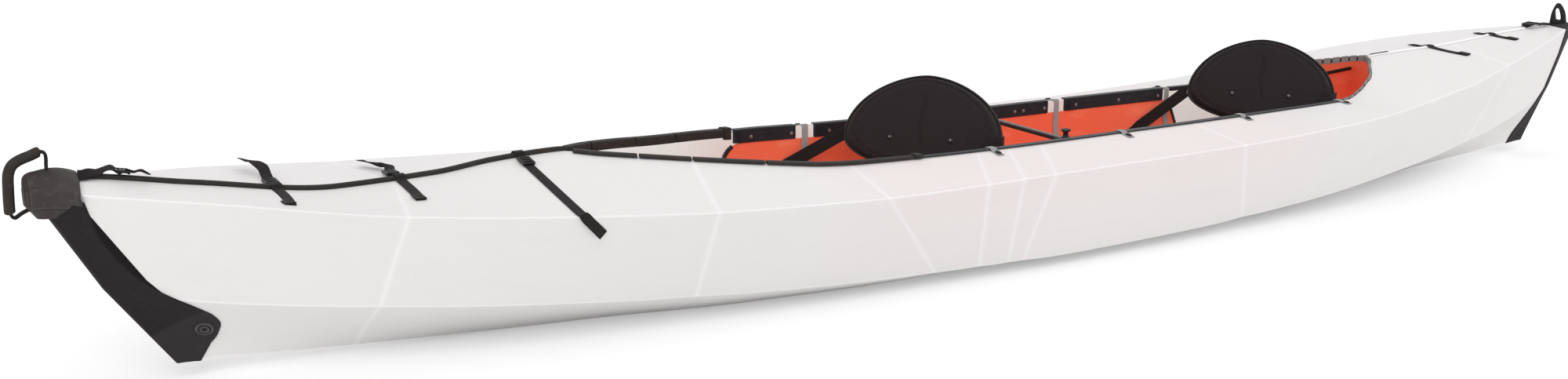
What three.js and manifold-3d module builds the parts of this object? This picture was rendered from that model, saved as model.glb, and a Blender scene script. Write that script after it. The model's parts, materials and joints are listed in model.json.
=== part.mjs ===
// Two-seat folding kayak: a folded plastic sheet hull with its rails, panels, seats, straps and end covers.
// Millimetres, +Z up, bow towards -X, port side towards -Y, origin on the ground at mid length.
import * as THREE from 'three';
import { mergeVertices } from 'three/addons/utils/BufferGeometryUtils.js';
import Module from 'manifold-3d';

// Driving dimensions of the hull.
const HALF_BEAM = 425;
const SHEER_HEIGHT = 455;
const COAMING_HALF_WIDTH = 242;
const SHEET = 5;
const KEEL_RISE = 43;
const SEAM_HALF_GAP = 2;
const NARROWEST = 0.4;

// How far each fold line reaches from mid length, towards the bow and towards the stern.
const REACH = {
  floor: { bow: 2165, stern: 2262 },
  chine: { bow: 2295, stern: 2372 },
  gunwale: { bow: 2415, stern: 2456 },
  edge: { bow: 2415, stern: 2456 },
};

// Clearances: between touching pieces, at a fold, and for a soft piece laid on a sloping panel.
const GAP = 0.3;
const FOLD_GAP = 0.6;
const LAY = 0.7;

// Fold lines along the hull: stations as shares of the reach, bow first, and sizes as shares of the beam
// and of the sheer height.
const stationShares = [-1, -0.95, -0.875, -0.75, -0.6, -0.4, -0.2, 0, 0.2, 0.4, 0.6, 0.75, 0.875, 0.95, 1];
const floorBreadthShares =
  [0.005, 0.01, 0.015, 0.04, 0.12, 0.32, 0.41, 0.41, 0.41, 0.36, 0.14, 0.05, 0.02, 0.01, 0.005];
const keelRiseShares = [1, 0.85, 0.55, 0.2, 0, 0, 0, 0, 0, 0, 0, 0.3, 0.6, 0.85, 1];
const chineBreadthShares =
  [0.035, 0.16, 0.31, 0.48, 0.58, 0.64, 0.68, 0.69, 0.68, 0.66, 0.6, 0.48, 0.31, 0.15, 0.035];
const chineHeightShares =
  [0.5, 0.44, 0.39, 0.32, 0.24, 0.15, 0.1, 0.07, 0.08, 0.13, 0.23, 0.32, 0.4, 0.45, 0.5];
const gunwaleBreadthShares =
  [0.066, 0.23, 0.43, 0.67, 0.84, 0.965, 1, 0.99, 0.98, 0.95, 0.84, 0.63, 0.37, 0.19, 0.066];
const gunwaleHeightShares =
  [0.985, 0.965, 0.925, 0.835, 0.755, 0.68, 0.645, 0.645, 0.645, 0.67, 0.765, 0.86, 0.91, 0.93, 0.94];

// Inner edge of the deck: closed seam at the ends, cockpit edge between them. Each row is the station share,
// the share of the cockpit's half width that lies past the seam, and the share of the sheer height.
const deckEdgeShares = [
  [-1, 0, 1.04],
  [-0.95, 0, 1.01],
  [-0.875, 0, 0.945],
  [-0.75, 0, 0.85],
  [-0.66, 0, 0.86],
  [-0.6, 0, 0.89],
  [-0.54, 0, 0.892],
  [-0.497, 0.24, 0.866],
  [-0.455, 0.42, 0.844],
  [-0.414, 0.56, 0.82],
  [-0.33, 0.86, 0.778],
  [-0.29, 0.96, 0.76],
  [-0.25, 1, 0.75],
  [-0.166, 0.99, 0.734],
  [0, 0.95, 0.716],
  [0.25, 0.913, 0.71],
  [0.418, 0.846, 0.704],
  [0.476, 0.785, 0.7],
  [0.501, 0.765, 0.747],
  [0.518, 0.72, 0.796],
  [0.543, 0.56, 0.844],
  [0.568, 0.33, 0.864],
  [0.585, 0.18, 0.87],
  [0.597, 0, 0.873],
  [0.75, 0, 0.893],
  [0.875, 0, 0.935],
  [0.95, 0, 0.945],
  [1, 0, 0.945],
];
// Stations at which every hull panel has a facet line: even steps, and the places where the deck edge turns.
const EVEN_STEPS = 64;
const keyStationShares = [-0.54, -0.497, 0.476, 0.501, 0.518, 0.543, 0.568, 0.585, 0.597];
const keyRoomShare = 0.008;
const endRoomShare = 0.002;

// Rails and trims along the cockpit edge: an angle section with a lip on the deck and a leg inboard.
const RAIL = { lipReach: 12, lipThick: 3, legDrop: 34, legThick: 9 };
const THIN_RAIL = { lipReach: 12, lipThick: 3, legDrop: 9, legThick: 9 };
const TRIM = { lipReach: 15, lipThick: 7, legDrop: 16, legThick: 9 };
const TRIM_END = { lipReach: 17, lipThick: 10, legDrop: 22, legThick: 11, length: 22 };
const RIM = { thick: 8, drop: 14, rise: 5 };
const SEAM_RAIL = { halfWidth: 7.5, height: 14, webHalf: 1.3, webDrop: 5 };
const STERN_RAIL = { halfWidth: 6, height: 4, webHalf: 1.3, webDrop: 5 };

// Places along the hull, from mid length.
const PLACES = {
  bowRailFront: -2325,
  bowRailRear: -1262,
  trimFront: -1236,
  portTrimRear: -430,
  portRailFront: -428.8,
  portRailRear: 1130,
  starboardTrimRear: -712,
  starboardRails: [[-700, -505], [-445, 355], [420, 800], [832, 1130]],
  rimFront: 1146,
  sternRailFront: 1475,
  sternRailRear: 2325,
  portStraps: [-205, 240, 690, 1117],
  starboardStraps: [-475, 388, 816],
  sidePanel: [-738, 826],
  frontBulkhead: -1330,
  rearBulkhead: 1600,
  floorFront: [-1240, 20],
  floorRear: [26, 1300],
  crossBar: 85,
};

// Webbing straps over the gunwale, with an oval button.
const GRIP_STRAP = { width: 20, thick: 2, deckLength: 62, drop: 46, openDrop: 135, openLeg: 6 };
const BUTTON = { radius: 5.5, stretch: 1.5, height: 3, sink: 0.6, inset: 15, sides: 16 };

// Inner panels, floorboards and bulkheads.
const PANEL = { thick: 5, cornerRadius: 62, cornerSteps: 5, floorRoom: 0.8 };
const REAR_LINER = {
  front: 1165,
  halfSpan: 172,
  floorRoom: 0.8,
  steps: 6,
};
const FLOORBOARD = { thick: 5, edgeRoom: 8 };
const BULKHEAD = { thick: 5, room: 0.7 };

// Height of the liner's walls at their front and rear, as shares of the sheer height.
const linerHeightShares = [0.659, 0.716];

// Backrests: half-moon board hung in the cockpit, turned and leaning back, with its foam and hanger band.
const BACKREST = {
  halfWidth: 216,
  rise: 177,
  fall: 93,
  height: 319,
  board: 5,
  foam: 24,
  squareness: 1.16,
  lean: 29,
  turn: 43,
  steps: 44,
};
const BACKREST_BOLT = { apart: 82, below: 8, shank: 3, head: 8, headHeight: 4, room: 0.4, sides: 14 };
const HANGER = { radius: 4, sides: 12 };
const SEAT_PLACES = { front: -253, rear: 1001 };
// Foam rings from back to front: depth as a share of the foam, outline as a share of the board's.
const foamRingShares = [
  [0, 0.93],
  [0.14, 0.95],
  [0.62, 0.95],
  [0.84, 0.92],
  [0.95, 0.86],
  [1, 0.76],
  [0.985, 0.52],
];
const SEAT_PAD = { halfWidth: 144, halfDepth: 165, height: 38, ahead: 250, corner: 55, cornerSteps: 5 };
const padRingShares = [
  [0, 0.965],
  [0.16, 1],
  [0.6, 1],
  [0.84, 0.97],
  [0.94, 0.88],
  [1, 0.6],
];
const SEAT_STRAP = { width: 36, thick: 2, behind: 12, cornerInset: 8, cornerReach: 36 };
const SEAT_ANCHOR = { ahead: 298, below: 21, foot: 38 };

// Footrests that slide on the floorboards.
const FOOTREST = {
  halfSpan: 98,
  barRadius: 11,
  barHeight: 84,
  foot: 70,
  footWidth: 18,
  footThick: 6,
  postThick: 6,
  sides: 12,
};
const FOOTREST_PLACES = { front: -950, rear: 330 };

// Cross bar between the rails with a clamp block and a knob at each end.
const BAR = { width: 16, thick: 12, below: 14, room: 0.5 };
const BLOCK = { halfLength: 17, height: 24, thick: 8 };
const KNOB = {
  radius: 13,
  waist: 7,
  foot: 11,
  footHeight: 6,
  waistHeight: 17,
  height: 25,
  inboard: 34,
  sides: 20,
};

// End covers at the bow and the stern; the covered share is where their shape starts.
const coveredShare = 0.8;
const FAIRING = { thick: 3.5, nose: 12, noseBreadthShare: 0.45, outlineDepth: 400 };
const CAP = { thick: 6.5, nose: 24, noseBreadthShare: 0.6 };
const STERN_STRIP = { thick: 3, nose: 18, noseBreadthShare: 0.4 };
const FASTENER = { radius: 19, height: 4, sink: 2, sides: 24 };
// Side outlines of the covers, as shares of the gunwale's reach and of the sheer height.
const fairingOutlineShares = [
  [1.035, 0.895],
  [0.959, 0.895],
  [0.952, 0.791],
  [0.936, 0.637],
  [0.911, 0.495],
  [0.886, 0.396],
  [0.872, 0.334],
  [0.866, 0.279],
  [0.868, 0.22],
  [0.877, 0.145],
  [0.884, 0.044],
  [1.035, 0.044],
];
const capOutlineShares = [
  [1.035, 0.899],
  [0.96, 0.899],
  [0.962, 0.967],
  [0.966, 1.033],
  [0.971, 1.231],
  [1.035, 1.231],
];
const sternStripOutlineShares = [
  [0.97, 0.769],
  [0.963, 1.011],
  [1.018, 1.011],
  [1.018, 0.044],
  [0.894, 0.044],
  [0.898, 0.136],
  [0.916, 0.268],
  [0.934, 0.365],
  [0.95, 0.475],
  [0.961, 0.585],
];
const fastenerShares = [0.879, 0.268];

// Carrying handle at the bow: a foam grip on a webbing core, from the cap's top to its front.
const GRIP = { radius: 11, bore: 5.2, sides: 14, steps: 22 };
const CORE = { radius: 4.6, sides: 10, steps: 40 };
const handlePathShares = [
  [0.99, 1.042],
  [0.99, 1.112],
  [1, 1.167],
  [1.013, 1.13],
  [1.019, 1.059],
  [1.02, 0.967],
  [1.02, 0.901],
  [1.015, 0.879],
  [1.009, 0.895],
  [1, 0.921],
];
const gripShares = [0.24, 0.83];

// Carrying loop at the stern: a flat sewn ring on a round hem that lies on the strip.
const LOOP = { halfThick: 2.5, foot: [2372, 2462], hemSides: 16, curveSteps: 4 };
// Corners of the loop's outline and of its hole, as [x, height over the hem].
const loopOutline = [
  [2372, 0],
  [2381, 40],
  [2402, 66],
  [2424, 62],
  [2450, 34],
  [2462, 0],
];
const loopHole = [
  [2432, 11],
  [2417, 46],
  [2397, 46],
  [2404, 13],
];

// Webbing deck straps: place along the hull, how far they reach to each side, and the buckle.
const DECK_STRAP = { width: 24, thick: 2, climb: 4, bends: 7 };
const DECK_BUCKLE = { width: 30, length: 42, height: 9, sink: 1 };
const BOW_STRAPS = {
  front: { place: -1945, nearEnd: 172, farEnd: 108, farLift: 18, buckle: 41 },
  middle: { place: -1675, nearEnd: 178, farEnd: 128, farLift: 6, buckle: 38 },
  rear: { place: -1392, nearRoom: 36, farEnd: 60, farLift: 2, buckle: -48, hang: 52 },
};
const STERN_STRAPS = {
  front: { place: 1755, nearEnd: 140, farEnd: 70, farLift: 3 },
  rear: { place: 2060, nearEnd: 96, farEnd: 60, farLift: 3 },
};
const CAP_STRAP = { width: 24, thick: 2.4, start: 3, reach: 118, lift: 12, bends: 4 };
const STERN_BUCKLE = { width: 28, thick: 3, buckle: 36, buckleHeight: 9, reach: 120, bends: 3 };

const { Vector3 } = THREE;
const RIGHT = Math.PI / 2;
const radians = THREE.MathUtils.degToRad;
const wasm = await Module();
wasm.setup();

// Cubic through a table of values whose slopes are limited, so that it never overshoots a value.
function smooth(places, values) {
  const rises = places.slice(1).map((place, i) => (values[i + 1] - values[i]) / (place - places[i]));
  const slopes = values.map((_, i) => {
    if (i === 0) return rises[0];
    if (i === rises.length) return rises[i - 1];
    const [before, after] = [rises[i - 1], rises[i]];
    return before * after <= 0 ? 0 : (2 * before * after) / (before + after);
  });
  return (x) => {
    let i = 0;
    while (i < places.length - 2 && x > places[i + 1]) i += 1;
    const span = places[i + 1] - places[i];
    const t = (x - places[i]) / span;
    const bend = t * t * (3 - 2 * t);
    const startBend = t * (1 - t) * (1 - t) * span;
    const endBend = t * t * (t - 1) * span;
    const bent = values[i] + (values[i + 1] - values[i]) * bend;
    return bent + slopes[i] * startBend + slopes[i + 1] * endBend;
  };
}

const floorBreadth = smooth(stationShares, floorBreadthShares);
const keelRise = smooth(stationShares, keelRiseShares);
const chineBreadth = smooth(stationShares, chineBreadthShares);
const chineHeight = smooth(stationShares, chineHeightShares);
const gunwaleBreadth = smooth(stationShares, gunwaleBreadthShares);
const gunwaleHeight = smooth(stationShares, gunwaleHeightShares);
const edgeStationShares = deckEdgeShares.map((row) => row[0]);
const edgeBreadth = smooth(edgeStationShares, deckEdgeShares.map((row) => row[1]));
const edgeHeight = smooth(edgeStationShares, deckEdgeShares.map((row) => row[2]));

// Outer corners of the starboard half section at a station share, from the floor to the deck's inner edge.
const CORNERS = ['floor', 'chine', 'gunwale', 'edge'];
const outerCorners = {
  floor: (s) => [floorBreadth(s) * HALF_BEAM, keelRise(s) * KEEL_RISE],
  chine: (s) => [chineBreadth(s) * HALF_BEAM, chineHeight(s) * SHEER_HEIGHT],
  gunwale: (s) => [gunwaleBreadth(s) * HALF_BEAM, gunwaleHeight(s) * SHEER_HEIGHT],
  edge: (s) => [
    SEAM_HALF_GAP + edgeBreadth(s) * (COAMING_HALF_WIDTH - SEAM_HALF_GAP),
    edgeHeight(s) * SHEER_HEIGHT,
  ],
};
const evenStations = Array.from({ length: EVEN_STEPS + 1 }, (_, i) => -1 + (2 * i) / EVEN_STEPS);
const STATIONS = evenStations
  .filter((s) => keyStationShares.every((key) => Math.abs(s - key) > keyRoomShare))
  .concat(keyStationShares)
  .sort((a, b) => a - b);

function placeOf(corner, share) {
  return share < 0 ? share * REACH[corner].bow : share * REACH[corner].stern;
}

function shareOf(corner, x) {
  return x < 0 ? x / REACH[corner].bow : x / REACH[corner].stern;
}

// Where two sheets that run along a corner meet when both are moved by depth along their normals.
function mitre(point, before, after, depth) {
  const scale = depth / (1 + before[0] * after[0] + before[1] * after[1]);
  return [point[0] + (before[0] + after[0]) * scale, point[1] + (before[1] + after[1]) * scale];
}

// Normal of a section line, pointing into the hull on the starboard half.
function inward(from, to) {
  const [dy, dz] = [to[0] - from[0], to[1] - from[1]];
  const length = Math.hypot(dy, dz);
  return [-dz / length, dy / length];
}

// How far along the hull a section lies at a height: the section leans with the ends of the fold lines.
function leanPlace(share, z) {
  const heights = CORNERS.map((corner) => outerCorners[corner](share)[1]);
  let i = 0;
  while (i < CORNERS.length - 2 && z > heights[i + 1]) i += 1;
  const t = THREE.MathUtils.clamp((z - heights[i]) / (heights[i + 1] - heights[i]), 0, 1);
  return THREE.MathUtils.lerp(placeOf(CORNERS[i], share), placeOf(CORNERS[i + 1], share), t);
}

// The section's corners at a station, moved into the hull by depth, or out of it where depth is negative.
function offsetSection(share, depth) {
  const [floor, chine, gunwale, edge] = CORNERS.map((corner) => outerCorners[corner](share));
  const normals = [[0, 1], inward(floor, chine), inward(chine, gunwale), inward(gunwale, edge)];
  const wing = inward(floor, chine);
  const moved = {
    floor: mitre(floor, normals[0], normals[1], depth),
    chine: mitre(chine, normals[1], normals[2], depth),
    gunwale: mitre(gunwale, normals[2], normals[3], depth),
  };
  if (moved.floor[0] < NARROWEST) {
    const start = [floor[0] + wing[0] * depth, floor[1] + wing[1] * depth];
    const run = [chine[0] - floor[0], chine[1] - floor[1]];
    const t = (NARROWEST - start[0]) / run[0];
    moved.floor = [NARROWEST, start[1] + run[1] * t];
  }
  const [deckY, deckZ] = [edge[0] - gunwale[0], edge[1] - gunwale[1]];
  const edgeStart = [edge[0] + normals[3][0] * depth, edge[1] + normals[3][1] * depth];
  moved.edge = [edge[0], edgeStart[1] + (deckZ * (edge[0] - edgeStart[0])) / deckY];
  CORNERS.forEach((corner) => {
    const [y, z] = moved[corner];
    moved[corner] = new Vector3(leanPlace(share, z), y, z);
  });
  return moved;
}

const sectionCache = new Map();
function stationSections(depth) {
  if (!sectionCache.has(depth)) sectionCache.set(depth, STATIONS.map((share) => offsetSection(share, depth)));
  return sectionCache.get(depth);
}

// Point of a fold line at any share, on the facets between the stations; side is 1 to starboard, -1 to port.
function hullPoint(corner, share, depth = 0, side = 1) {
  const sections = stationSections(depth);
  let i = 0;
  while (i < STATIONS.length - 2 && share > STATIONS[i + 1]) i += 1;
  const t = (share - STATIONS[i]) / (STATIONS[i + 1] - STATIONS[i]);
  const point = sections[i][corner].clone().lerp(sections[i + 1][corner], t);
  return point.setY(side * point.y);
}

function hullPointAt(corner, x, depth = 0, side = 1) {
  return hullPoint(corner, shareOf(corner, x), depth, side);
}

// Shares from one place to another with every facet line between them.
function sharesBetween(from, to, corner = 'edge') {
  const [start, end] = [shareOf(corner, from), shareOf(corner, to)];
  const inner = STATIONS.filter((s) => s > start + endRoomShare && s < end - endRoomShare);
  return [start, ...inner, end];
}

// Height of a panel's facet at a place; low and high are the panel's two fold lines.
function facetHeight(low, high, x, y, depth) {
  const sections = stationSections(depth);
  const corner = (name, i) => sections[i][name];
  let i = 0;
  while (i < STATIONS.length - 2) {
    const [l, h] = [corner(low, i + 1), corner(high, i + 1)];
    const along = THREE.MathUtils.lerp(l.x, h.x, (Math.abs(y) - l.y) / (h.y - l.y));
    if (x <= along) break;
    i += 1;
  }
  const [first, second] = [corner(low, i), corner(high, i + 1)];
  const heights = [corner(high, i), corner(low, i + 1)].map((third) => {
    const normal = second.clone().sub(first).cross(third.clone().sub(first));
    return first.z - (normal.x * (x - first.x) + normal.y * (Math.abs(y) - first.y)) / normal.z;
  });
  const across = (p) => (second.x - first.x) * (p.y - first.y) - (second.y - first.y) * (p.x - first.x);
  const sameSide = across({ x, y: Math.abs(y) }) * across(corner(high, i)) >= 0;
  return sameSide ? heights[0] : heights[1];
}

// Height of the deck's top, and of the bottom panel's inner face, at a place.
function deckHeight(x, y) {
  return facetHeight('gunwale', 'edge', x, y, 0);
}

function floorHeight(x, y) {
  const floor = hullPointAt('floor', x, SHEET);
  return Math.abs(y) <= floor.y ? floor.z : facetHeight('floor', 'chine', x, y, SHEET);
}

// Height at which a piece stands on the floorboards.
function floorboardTop(x) {
  return hullPointAt('floor', x, SHEET).z + 2 * GAP + FLOORBOARD.thick;
}

// Faces between two rings of count points each. A side's diagonal runs from its lower corner on the first
// ring to its higher corner on the second, so that surfaces that follow each other fold along the same lines.
function ringFaces(rings, i, count) {
  const faces = [];
  for (let j = 0; j < count; j += 1) {
    const k = (j + 1) % count;
    const [a, b] = [i * count + j, i * count + k];
    const rising = rings[i][j].z <= rings[i][k].z;
    const upward = [a, b, b + count, a, b + count, a + count];
    const downward = [a, b, a + count, b, b + count, a + count];
    faces.push(...(rising ? upward : downward));
  }
  return faces;
}

// Triangles over an end ring, seen from behind the first ring; plane names the axes that the ring is flat on.
function flatCap(ring, plane) {
  const contour = ring.map((p) => new THREE.Vector2(p[plane[0]], p[plane[1]]));
  const area = THREE.ShapeUtils.area(contour);
  return THREE.ShapeUtils.triangulateShape(contour, []).flatMap(([a, b, c]) => {
    const turn = THREE.ShapeUtils.area([contour[a], contour[b], contour[c]]);
    return turn * area > 0 ? [a, b, c] : [c, b, a];
  });
}

// Triangles over an end ring made of one half and its mirror image, as rungs between the halves.
function ladderCap(ring) {
  const last = ring.length - 1;
  const rungs = ring.slice(1, ring.length / 2);
  return rungs.flatMap((_, k) => [k, k + 1, last - k, k + 1, last - k - 1, last - k]);
}

// Solid through a row of rings with the same number of points each, closed by a cap at each end.
function loft(rings, capOf = (ring) => flatCap(ring, 'yz')) {
  const count = rings[0].length;
  const positions = rings.flat().flatMap((p) => [p.x, p.y, p.z]);
  const faces = rings.slice(1).flatMap((_, i) => ringFaces(rings, i, count));
  const last = rings.length - 1;
  const [start, end] = [capOf(rings[0]), capOf(rings[last]).map((k) => last * count + k)];
  return faceOut(positions, [...faces, ...start.reverse(), ...end]);
}

// Turns the faces outwards when the solid's signed volume is negative.
function faceOut(positions, faces) {
  const at = (k) => new Vector3().fromArray(positions, 3 * k);
  let volume = 0;
  for (let k = 0; k < faces.length; k += 3) {
    const [a, b, c] = [at(faces[k]), at(faces[k + 1]), at(faces[k + 2])];
    volume += a.dot(b.cross(c));
  }
  if (volume < 0) {
    for (let k = 0; k < faces.length; k += 3) [faces[k], faces[k + 2]] = [faces[k + 2], faces[k]];
  }
  const geometry = new THREE.BufferGeometry();
  geometry.setAttribute('position', new THREE.Float32BufferAttribute(positions, 3));
  geometry.setIndex(faces);
  geometry.computeVertexNormals();
  return geometry;
}

function toSolid(geometry) {
  const bare = geometry.clone();
  bare.deleteAttribute('normal');
  bare.deleteAttribute('uv');
  const merged = mergeVertices(bare);
  const mesh = new wasm.Mesh({
    numProp: 3,
    vertProperties: new Float32Array(merged.attributes.position.array),
    triVerts: new Uint32Array(merged.index.array),
  });
  return new wasm.Manifold(mesh);
}

function toGeometry(solid) {
  const mesh = solid.getMesh();
  const geometry = new THREE.BufferGeometry();
  geometry.setAttribute('position', new THREE.Float32BufferAttribute(mesh.vertProperties, 3));
  geometry.setIndex(Array.from(mesh.triVerts));
  geometry.computeVertexNormals();
  return geometry;
}

function joined(...geometries) {
  return toGeometry(geometries.map(toSolid).reduce((sum, solid) => sum.add(solid)));
}

function cut(geometry, ...tools) {
  return toGeometry(tools.map(toSolid).reduce((rest, tool) => rest.subtract(tool), toSolid(geometry)));
}

// Outline of a band of even thickness on the left of a line of [a, b] points.
function band(points, thick) {
  const normals = points.slice(1).map((p, i) => inward(points[i], p));
  const other = points.map((p, i) => {
    const before = normals[Math.max(i - 1, 0)];
    const after = normals[Math.min(i, normals.length - 1)];
    return mitre(p, before, after, thick);
  });
  return [...points, ...other.reverse()];
}

function cylinder(radius, length, sides) {
  return new THREE.CylinderGeometry(radius, radius, length, sides);
}

function tube(points, radius, sides, steps) {
  const curve = new THREE.CatmullRomCurve3(points);
  const circle = new THREE.Shape().absarc(0, 0, radius, 0, 4 * RIGHT);
  const section = new THREE.Shape(circle.getPoints(sides).slice(0, sides));
  return new THREE.ExtrudeGeometry(section, { extrudePath: curve, steps, bevelEnabled: false });
}

const MATERIALS = {
  sheet: { color: '#e8e7e7', roughness: 0.42 },
  trim: { color: '#37322f', roughness: 0.6 },
  rail: { color: '#2d2f35', roughness: 0.45 },
  rimGrey: { color: '#6d6a68', roughness: 0.6 },
  orange: { color: '#ee5f3c', roughness: 0.5 },
  greyWeb: { color: '#969696', roughness: 0.9 },
  blackWeb: { color: '#2b2827', roughness: 0.9 },
  foam: { color: '#34302f', roughness: 0.95 },
  fairing: { color: '#2e292d', roughness: 0.7 },
  cap: { color: '#4e4846', roughness: 0.55 },
};

const kayak = new THREE.Group();

function add(name, geometry, look, parent = kayak) {
  const mesh = new THREE.Mesh(geometry, new THREE.MeshStandardMaterial(MATERIALS[look]));
  mesh.name = name;
  parent.add(mesh);
  return mesh;
}

// Hull panels, parted by a narrow gap at each fold.

function bottomPanel() {
  const rings = STATIONS.map((share) => [
    hullPoint('floor', share, 0, -1),
    hullPoint('floor', share, 0, 1),
    hullPoint('floor', share, SHEET, 1),
    hullPoint('floor', share, SHEET, -1),
  ]);
  return loft(rings);
}

// Panel between two fold lines. The bottom panel keeps its full width, so a panel beside it leaves the gap.
function strakePanel(low, high, side) {
  const gaps = {
    low: low === 'floor' ? FOLD_GAP : FOLD_GAP / 2,
    high: high === 'edge' ? 0 : FOLD_GAP / 2,
  };
  const rings = STATIONS.map((share) => {
    const run = hullPoint(high, share, 0, side).sub(hullPoint(low, share, 0, side));
    run.x = 0;
    run.normalize();
    const start = (depth) => hullPoint(low, share, depth, side).addScaledVector(run, gaps.low);
    const end = (depth) => hullPoint(high, share, depth, side).addScaledVector(run, -gaps.high);
    return [start(0), end(0), end(SHEET), start(SHEET)];
  });
  return loft(rings);
}

// Rails, trims and the rim along the deck's inner edge.

// Section points as [inboard, up] from the edge, placed at a share on one side.
function edgeRing(section, share, side) {
  const edge = hullPoint('edge', share, 0, side);
  return section.map(([inboard, up]) => new Vector3(edge.x, edge.y - side * inboard, edge.z + up));
}

function angleSection(size) {
  return [
    [-size.lipReach, GAP],
    [-size.lipReach, GAP + size.lipThick],
    [GAP + size.legThick, GAP + size.lipThick],
    [GAP + size.legThick, -size.legDrop],
    [GAP, -size.legDrop],
    [GAP, GAP],
  ];
}

function edgeRail(size, from, to, side) {
  return loft(sharesBetween(from, to).map((share) => edgeRing(angleSection(size), share, side)));
}

function frontTrim(rear, side) {
  const body = edgeRail(TRIM, PLACES.trimFront, rear, side);
  const end = edgeRail(TRIM_END, rear - TRIM_END.length, rear, side);
  return joined(body, end);
}

function rearRim() {
  const tip = REACH.edge.stern * deckEdgeShares.find((row) => row[0] > 0 && row[1] === 0)[0];
  const shares = sharesBetween(PLACES.rimFront, tip);
  const path = [
    ...shares.map((share) => hullPoint('edge', share, 0, -1)),
    ...shares.map((share) => hullPoint('edge', share, 0, 1)).reverse(),
  ];
  const up = new Vector3(0, 0, 1);
  const rings = path.map((point, i) => {
    const ahead = path[Math.min(i + 1, path.length - 1)];
    const behind = path[Math.max(i - 1, 0)];
    const inboard = up.clone().cross(ahead.clone().sub(behind)).normalize();
    const at = (off, rise) => point.clone().addScaledVector(inboard, off).add(new Vector3(0, 0, rise));
    const [near, far] = [2 * GAP, 2 * GAP + RIM.thick];
    return [at(near, -RIM.drop), at(near, RIM.rise), at(far, RIM.rise), at(far, -RIM.drop)];
  });
  return loft(rings);
}

function seamRail(size, from, to) {
  const rings = sharesBetween(from, to).map((share) => {
    const seam = hullPoint('edge', share);
    const [low, high] = [LAY, LAY + size.height];
    const section = [
      [size.halfWidth, low],
      [size.halfWidth, high],
      [-size.halfWidth, high],
      [-size.halfWidth, low],
      [-size.webHalf, low],
      [-size.webHalf, -size.webDrop],
      [size.webHalf, -size.webDrop],
      [size.webHalf, low],
    ];
    return section.map(([y, z]) => new Vector3(seam.x, y, seam.z + z));
  });
  return loft(rings);
}

// Grey webbing strap over the edge at a place: on a rail, or on the bare edge between two rails.
function gunwaleStrap(place, side, onRail) {
  const profile = (x) => {
    const edge = hullPointAt('edge', x);
    const onDeck = (inboard) => deckHeight(x, edge.y - inboard) - edge.z + LAY;
    const top = onRail ? GAP + RAIL.lipThick + LAY : GAP + LAY;
    const lip = onRail ? RAIL.lipReach + LAY : RAIL.lipThick;
    const leg = onRail ? GAP + RAIL.legThick + LAY : GRIP_STRAP.openLeg;
    const drop = onRail ? GRIP_STRAP.drop : GRIP_STRAP.openDrop;
    const line = [
      [-GRIP_STRAP.deckLength, onDeck(-GRIP_STRAP.deckLength)],
      [-GRIP_STRAP.deckLength / 2, onDeck(-GRIP_STRAP.deckLength / 2)],
      [-lip - GRIP_STRAP.thick, onDeck(-lip - GRIP_STRAP.thick)],
      [-lip, top],
      [leg, top],
      [leg, -drop],
    ];
    return band(line, GRIP_STRAP.thick).map(
      ([inboard, up]) => new Vector3(x, side * (edge.y - inboard), edge.z + up),
    );
  };
  const half = GRIP_STRAP.width / 2;
  const strap = loft([profile(place - half), profile(place + half)], ladderCap);
  const edge = hullPointAt('edge', place);
  const buttonY = edge.y + GRIP_STRAP.deckLength - BUTTON.inset;
  const button = cylinder(BUTTON.radius, BUTTON.height + BUTTON.sink, BUTTON.sides);
  button.rotateX(RIGHT);
  button.scale(1, BUTTON.stretch, 1);
  const seat = deckHeight(place, buttonY) + LAY + GRIP_STRAP.thick;
  button.translate(place, side * buttonY, seat + (BUTTON.height - BUTTON.sink) / 2);
  return joined(strap, button);
}

// Inner panels, floorboards and bulkheads.

function sidePanel(side) {
  const [from, to] = PLACES.sidePanel;
  const radius = PANEL.cornerRadius;
  const cornerPlaces = Array.from({ length: PANEL.cornerSteps }, (_, i) => {
    const angle = (RIGHT * i) / PANEL.cornerSteps;
    return from + radius * (1 - Math.cos(angle));
  });
  const shares = [
    ...cornerPlaces.map((x) => shareOf('edge', x)),
    ...sharesBetween(from + radius, to),
  ];
  const rings = shares.map((share) => {
    const edge = hullPoint('edge', share);
    const behind = Math.min(edge.x - from, radius);
    const round = radius - Math.sqrt(Math.max(radius * radius - (radius - behind) ** 2, 0));
    const top = edge.z - RAIL.legDrop - LAY - round;
    const [outer, inner] = [edge.y - GAP, edge.y - GAP - PANEL.thick];
    const low = floorHeight(edge.x, outer) + PANEL.floorRoom;
    return [[outer, low], [outer, top], [inner, top], [inner, low]].map(
      ([y, z]) => new Vector3(edge.x, side * y, z),
    );
  });
  return loft(rings);
}

function floorboard([from, to]) {
  const rings = sharesBetween(from, to, 'floor').map((share) => {
    const floor = hullPoint('floor', share, SHEET);
    const half = Math.max(floor.y - FLOORBOARD.edgeRoom, FLOORBOARD.edgeRoom);
    const [low, high] = [floor.z + GAP, floor.z + GAP + FLOORBOARD.thick];
    return [[-half, low], [half, low], [half, high], [-half, high]].map(
      ([y, z]) => new Vector3(floor.x, y, z),
    );
  });
  return loft(rings);
}

function bulkhead(place) {
  const inside = loft(STATIONS.map((share) => hullRing(share, -SHEET - BULKHEAD.room)), ladderCap);
  const slab = new THREE.BoxGeometry(BULKHEAD.thick, 2 * HALF_BEAM, 2 * SHEER_HEIGHT);
  slab.translate(place, 0, SHEER_HEIGHT);
  return toGeometry(toSolid(inside).intersect(toSolid(slab)));
}

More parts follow.
